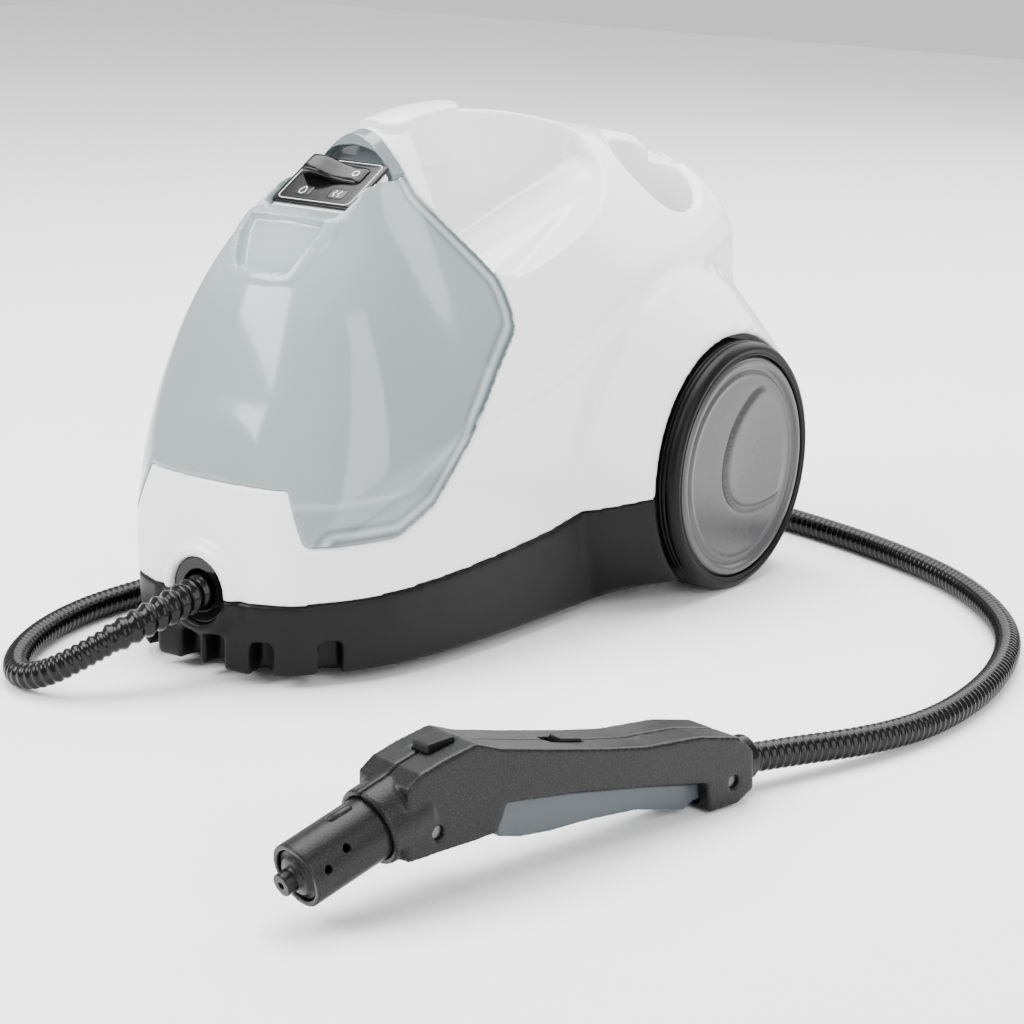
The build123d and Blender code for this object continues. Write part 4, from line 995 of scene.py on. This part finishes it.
def make_wheel(side):
    label = "right" if side > 0 else "left"
    outline = [(93.1, 62.1), (93.1, 66.5), (94.0, 68.6), (95.8, 69.6)]
    outline += [(x, 69.7 - tread_groove(x)) for x in np.arange(97.0, 119.0, 0.33)]
    outline += [(120.5, 69.5), (122.6, 69.0), (124.3, 67.6), (125.0, 66.0), (125.1, 64.6), (124.5, 63.9)]
    outline += [(125.0, 63.2), (125.0, 62.6), (124.0, 62.1)]
    section = [(side * x, radius) for x, radius in outline]
    tyre = revolve(f"{label}_tyre_ribbed", section, (0, WHEEL_Y, WHEEL_Z), (1, 0, 0), 160)
    finish_piece(tyre, f"{label}_wheel", "tyre", f"{label}_tyre")
    make_cap(side, label)


def cap_height(y, z):
    """How far the cap's face stands out at a point of its own plane: two rims, and a swept C."""
    r = np.hypot(y, z)
    height = np.full_like(r, 123.5)
    height += 1.45 * ease((r - 55.5) / 2.0) * (1 - ease((r - 59.8) / 1.8))
    height -= 0.7 * np.exp(-(((r - 54.2) / 0.9) ** 2))
    height += 0.5 * np.exp(-(((r - 51.5) / 1.2) ** 2))
    curve = smooth_loop(SWIRL, 8, closed=False)
    away = distance_to_line(np.stack([y, z], axis=1), curve)
    middle = ease((48 - r) / 6)
    inside = np.array([inside_swirl(a, b, curve) for a, b in zip(y, z)])
    height += middle * np.where(inside, 1.5 * np.exp(-away / 12), -0.35 * np.exp(-away / 9))
    height -= middle * 0.75 * np.exp(-((away / 2.0) ** 2))
    return height


def inside_swirl(y, z, curve):
    """True in the bay of the C."""
    outline = curve + [(70, curve[-1][1]), (70, curve[0][1])]
    inside = False
    for (ay, az), (by, bz) in zip(outline, outline[1:] + outline[:1]):
        if (az > z) != (bz > z) and y < (by - ay) * (z - az) / (bz - az) + ay:
            inside = not inside
    return inside


def make_cap(side, label):
    radii = np.linspace(0.6, 61.8, 78)
    count = 150
    angles = np.linspace(0, 2 * math.pi, count, endpoint=False)
    y = np.outer(radii, np.cos(angles)).ravel()
    z = np.outer(radii, np.sin(angles)).ravel()
    x = cap_height(y, z)
    x[-count:] = 122.6
    points = np.stack([side * x, WHEEL_Y + y, WHEEL_Z + z], axis=1)
    back = points[-count:].copy()
    back[:, 0] = side * 122.35
    points = np.vstack([points, back])
    faces = []
    for i in range(len(radii)):
        for k in range(count):
            a, b = i * count + k, i * count + (k + 1) % count
            faces.append((a, b, b + count, a + count))
    faces.append(tuple(range(count)))
    faces.append(tuple(len(radii) * count + k for k in range(count)))
    cap = mesh_object(f"{label}_cap_swept", points * MM, faces)
    fix_normals(cap)
    finish_piece(cap, f"{label}_wheel", "cap_grey", f"{label}_hub_cap")


# ---------------------------------------------------------------- pieces rounded off from the CAD nodes
def from_node(node, name, voxel, rounds, body, slot):
    """A copy of a CAD node with its edges rounded like a moulding, which stands for the node."""
    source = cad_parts[node]
    piece = bpy.data.objects.new(name, source.data.copy())
    bpy.context.scene.collection.objects.link(piece)
    piece.matrix_world = source.matrix_world
    soften(piece, voxel, rounds)
    return finish_piece(piece, body, slot, node)


GUN_HEADING = math.radians(11.8)
BARREL_TILT = math.radians(17.0)


def gun_point(along, height, across=0.0):
    """A point in mm: along the gun from its mouth, above the floor, and towards its right."""
    c, s = math.cos(GUN_HEADING), math.sin(GUN_HEADING)
    return Vector((243.7 + along * s + across * c, -408 + along * c - across * s, height))


def make_barrel():
    """The steam barrel with its locking holes, its lug and the stepped cone in its mouth."""
    right = gun_point(0, 0, 1) - gun_point(0, 0, 0)
    ahead = gun_point(math.cos(BARREL_TILT), math.sin(BARREL_TILT)) - gun_point(0, 0)
    barrel = from_node("gun_barrel", "gun_barrel_moulded", 0.5, 3, "root", "gun_black")
    for along, height in ((12, 27.5), (22, 33.5)):
        drill = [(8, 0.01), (8, 1.9), (20, 1.9), (20, 0.01)]
        hole = revolve("hole", drill, gun_point(along, height), right, 32)
        combine(barrel, hole)
    barrel.data.polygons.foreach_set("use_smooth", [True] * len(barrel.data.polygons))
    mouth = gun_point(6, 22)
    outline = [
        (6, 0.01), (6, 11.2), (1.6, 11.2), (1.2, 10.4), (1.2, 8.6), (-0.4, 8.2),
        (-0.8, 7.0), (-0.8, 5.4), (-2.6, 5.0), (-3.4, 4.0), (-3.4, 0.01),
    ]
    cone = revolve("nozzle_cone", outline, mouth, ahead, 96)
    finish_piece(cone, "root", "gun_black")
    lug = gun_point(28, 41.5)
    rounded = [(-6, 0.01), (-6, 2.0), (-5, 2.9), (5, 2.9), (6, 2.0), (6, 0.01)]
    ridge = revolve("barrel_lug", rounded, lug, ahead, 40)
    finish_piece(ridge, "root", "gun_black")


def make_gun():
    from_node("gun_right_shell", "gun_shell_right", 0.75, 16, "root", "gun_black")
    from_node("gun_left_shell", "gun_shell_left", 0.75, 16, "root", "gun_black")
    make_barrel()
    from_node("hose_end_collar", "hose_collar_ribbed", 0.5, 3, "root", "hose_black")
    from_node("trigger", "trigger_lever", 0.55, 16, "gun_trigger", "trigger_grey")
    from_node("release_button", "release_button_cap", 0.4, 5, "gun_button", "gun_black")
    from_node("lock_slider", "lock_slider_cap", 0.4, 4, "gun_slider", "gun_black")
    from_node("steam_nozzle", "steam_nozzle_tip", 0.4, 2, "root", "brass_black")


def make_fittings():
    from_node("hose_collar", "hose_port_collar", 0.5, 3, "root", "collar_gloss")
    from_node("castor_fork", "castor_fork_moulded", 0.5, 3, "castor_yoke", "base_black")
    from_node("castor_wheel", "castor_tyre", 0.4, 2, "castor_roller", "tyre")


NODE_SLOTS = {
    "base_black": ["left_wheel_rim", "right_wheel_rim"],
    "inner_plastic": [
        "tank_valve_seat", "tank_valve", "tank_dock", "switch_body", "wheel_spacers",
        "thermostats", "water_pump", "gun_switch",
    ],
    "steel": [
        "tank_valve_spring", "wheel_axles", "axle_clips", "castor_pin", "boiler_bolts", "heating_element",
        "boiler_cradle", "base_screws", "gun_screws", "trigger_pin", "trigger_spring",
    ],
    "rubber_black": ["boiler_gasket", "mains_gland"],
    "boiler_metal": ["boiler_drum", "boiler_lid"],
    "brass_fitting": ["safety_valve", "steam_valve", "steam_pipe", "boiler_pipe"],
    "tube_clear": ["feed_tube", "pressure_tube", "gun_tube", "filler_plug"],
    "board_green": ["control_board"],
}


def dress_nodes():
    """Every CAD node that still shows gets its slot's material."""
    for slot, nodes in NODE_SLOTS.items():
        for node in nodes:
            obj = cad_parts[node]
            obj.data.materials.clear()
            obj.data.materials.append(MATERIALS[slot])


make_camera()
make_hose()
make_stage()
make_casing()
make_console()
make_wheel(1)
make_wheel(-1)
make_gun()
make_fittings()
dress_nodes()
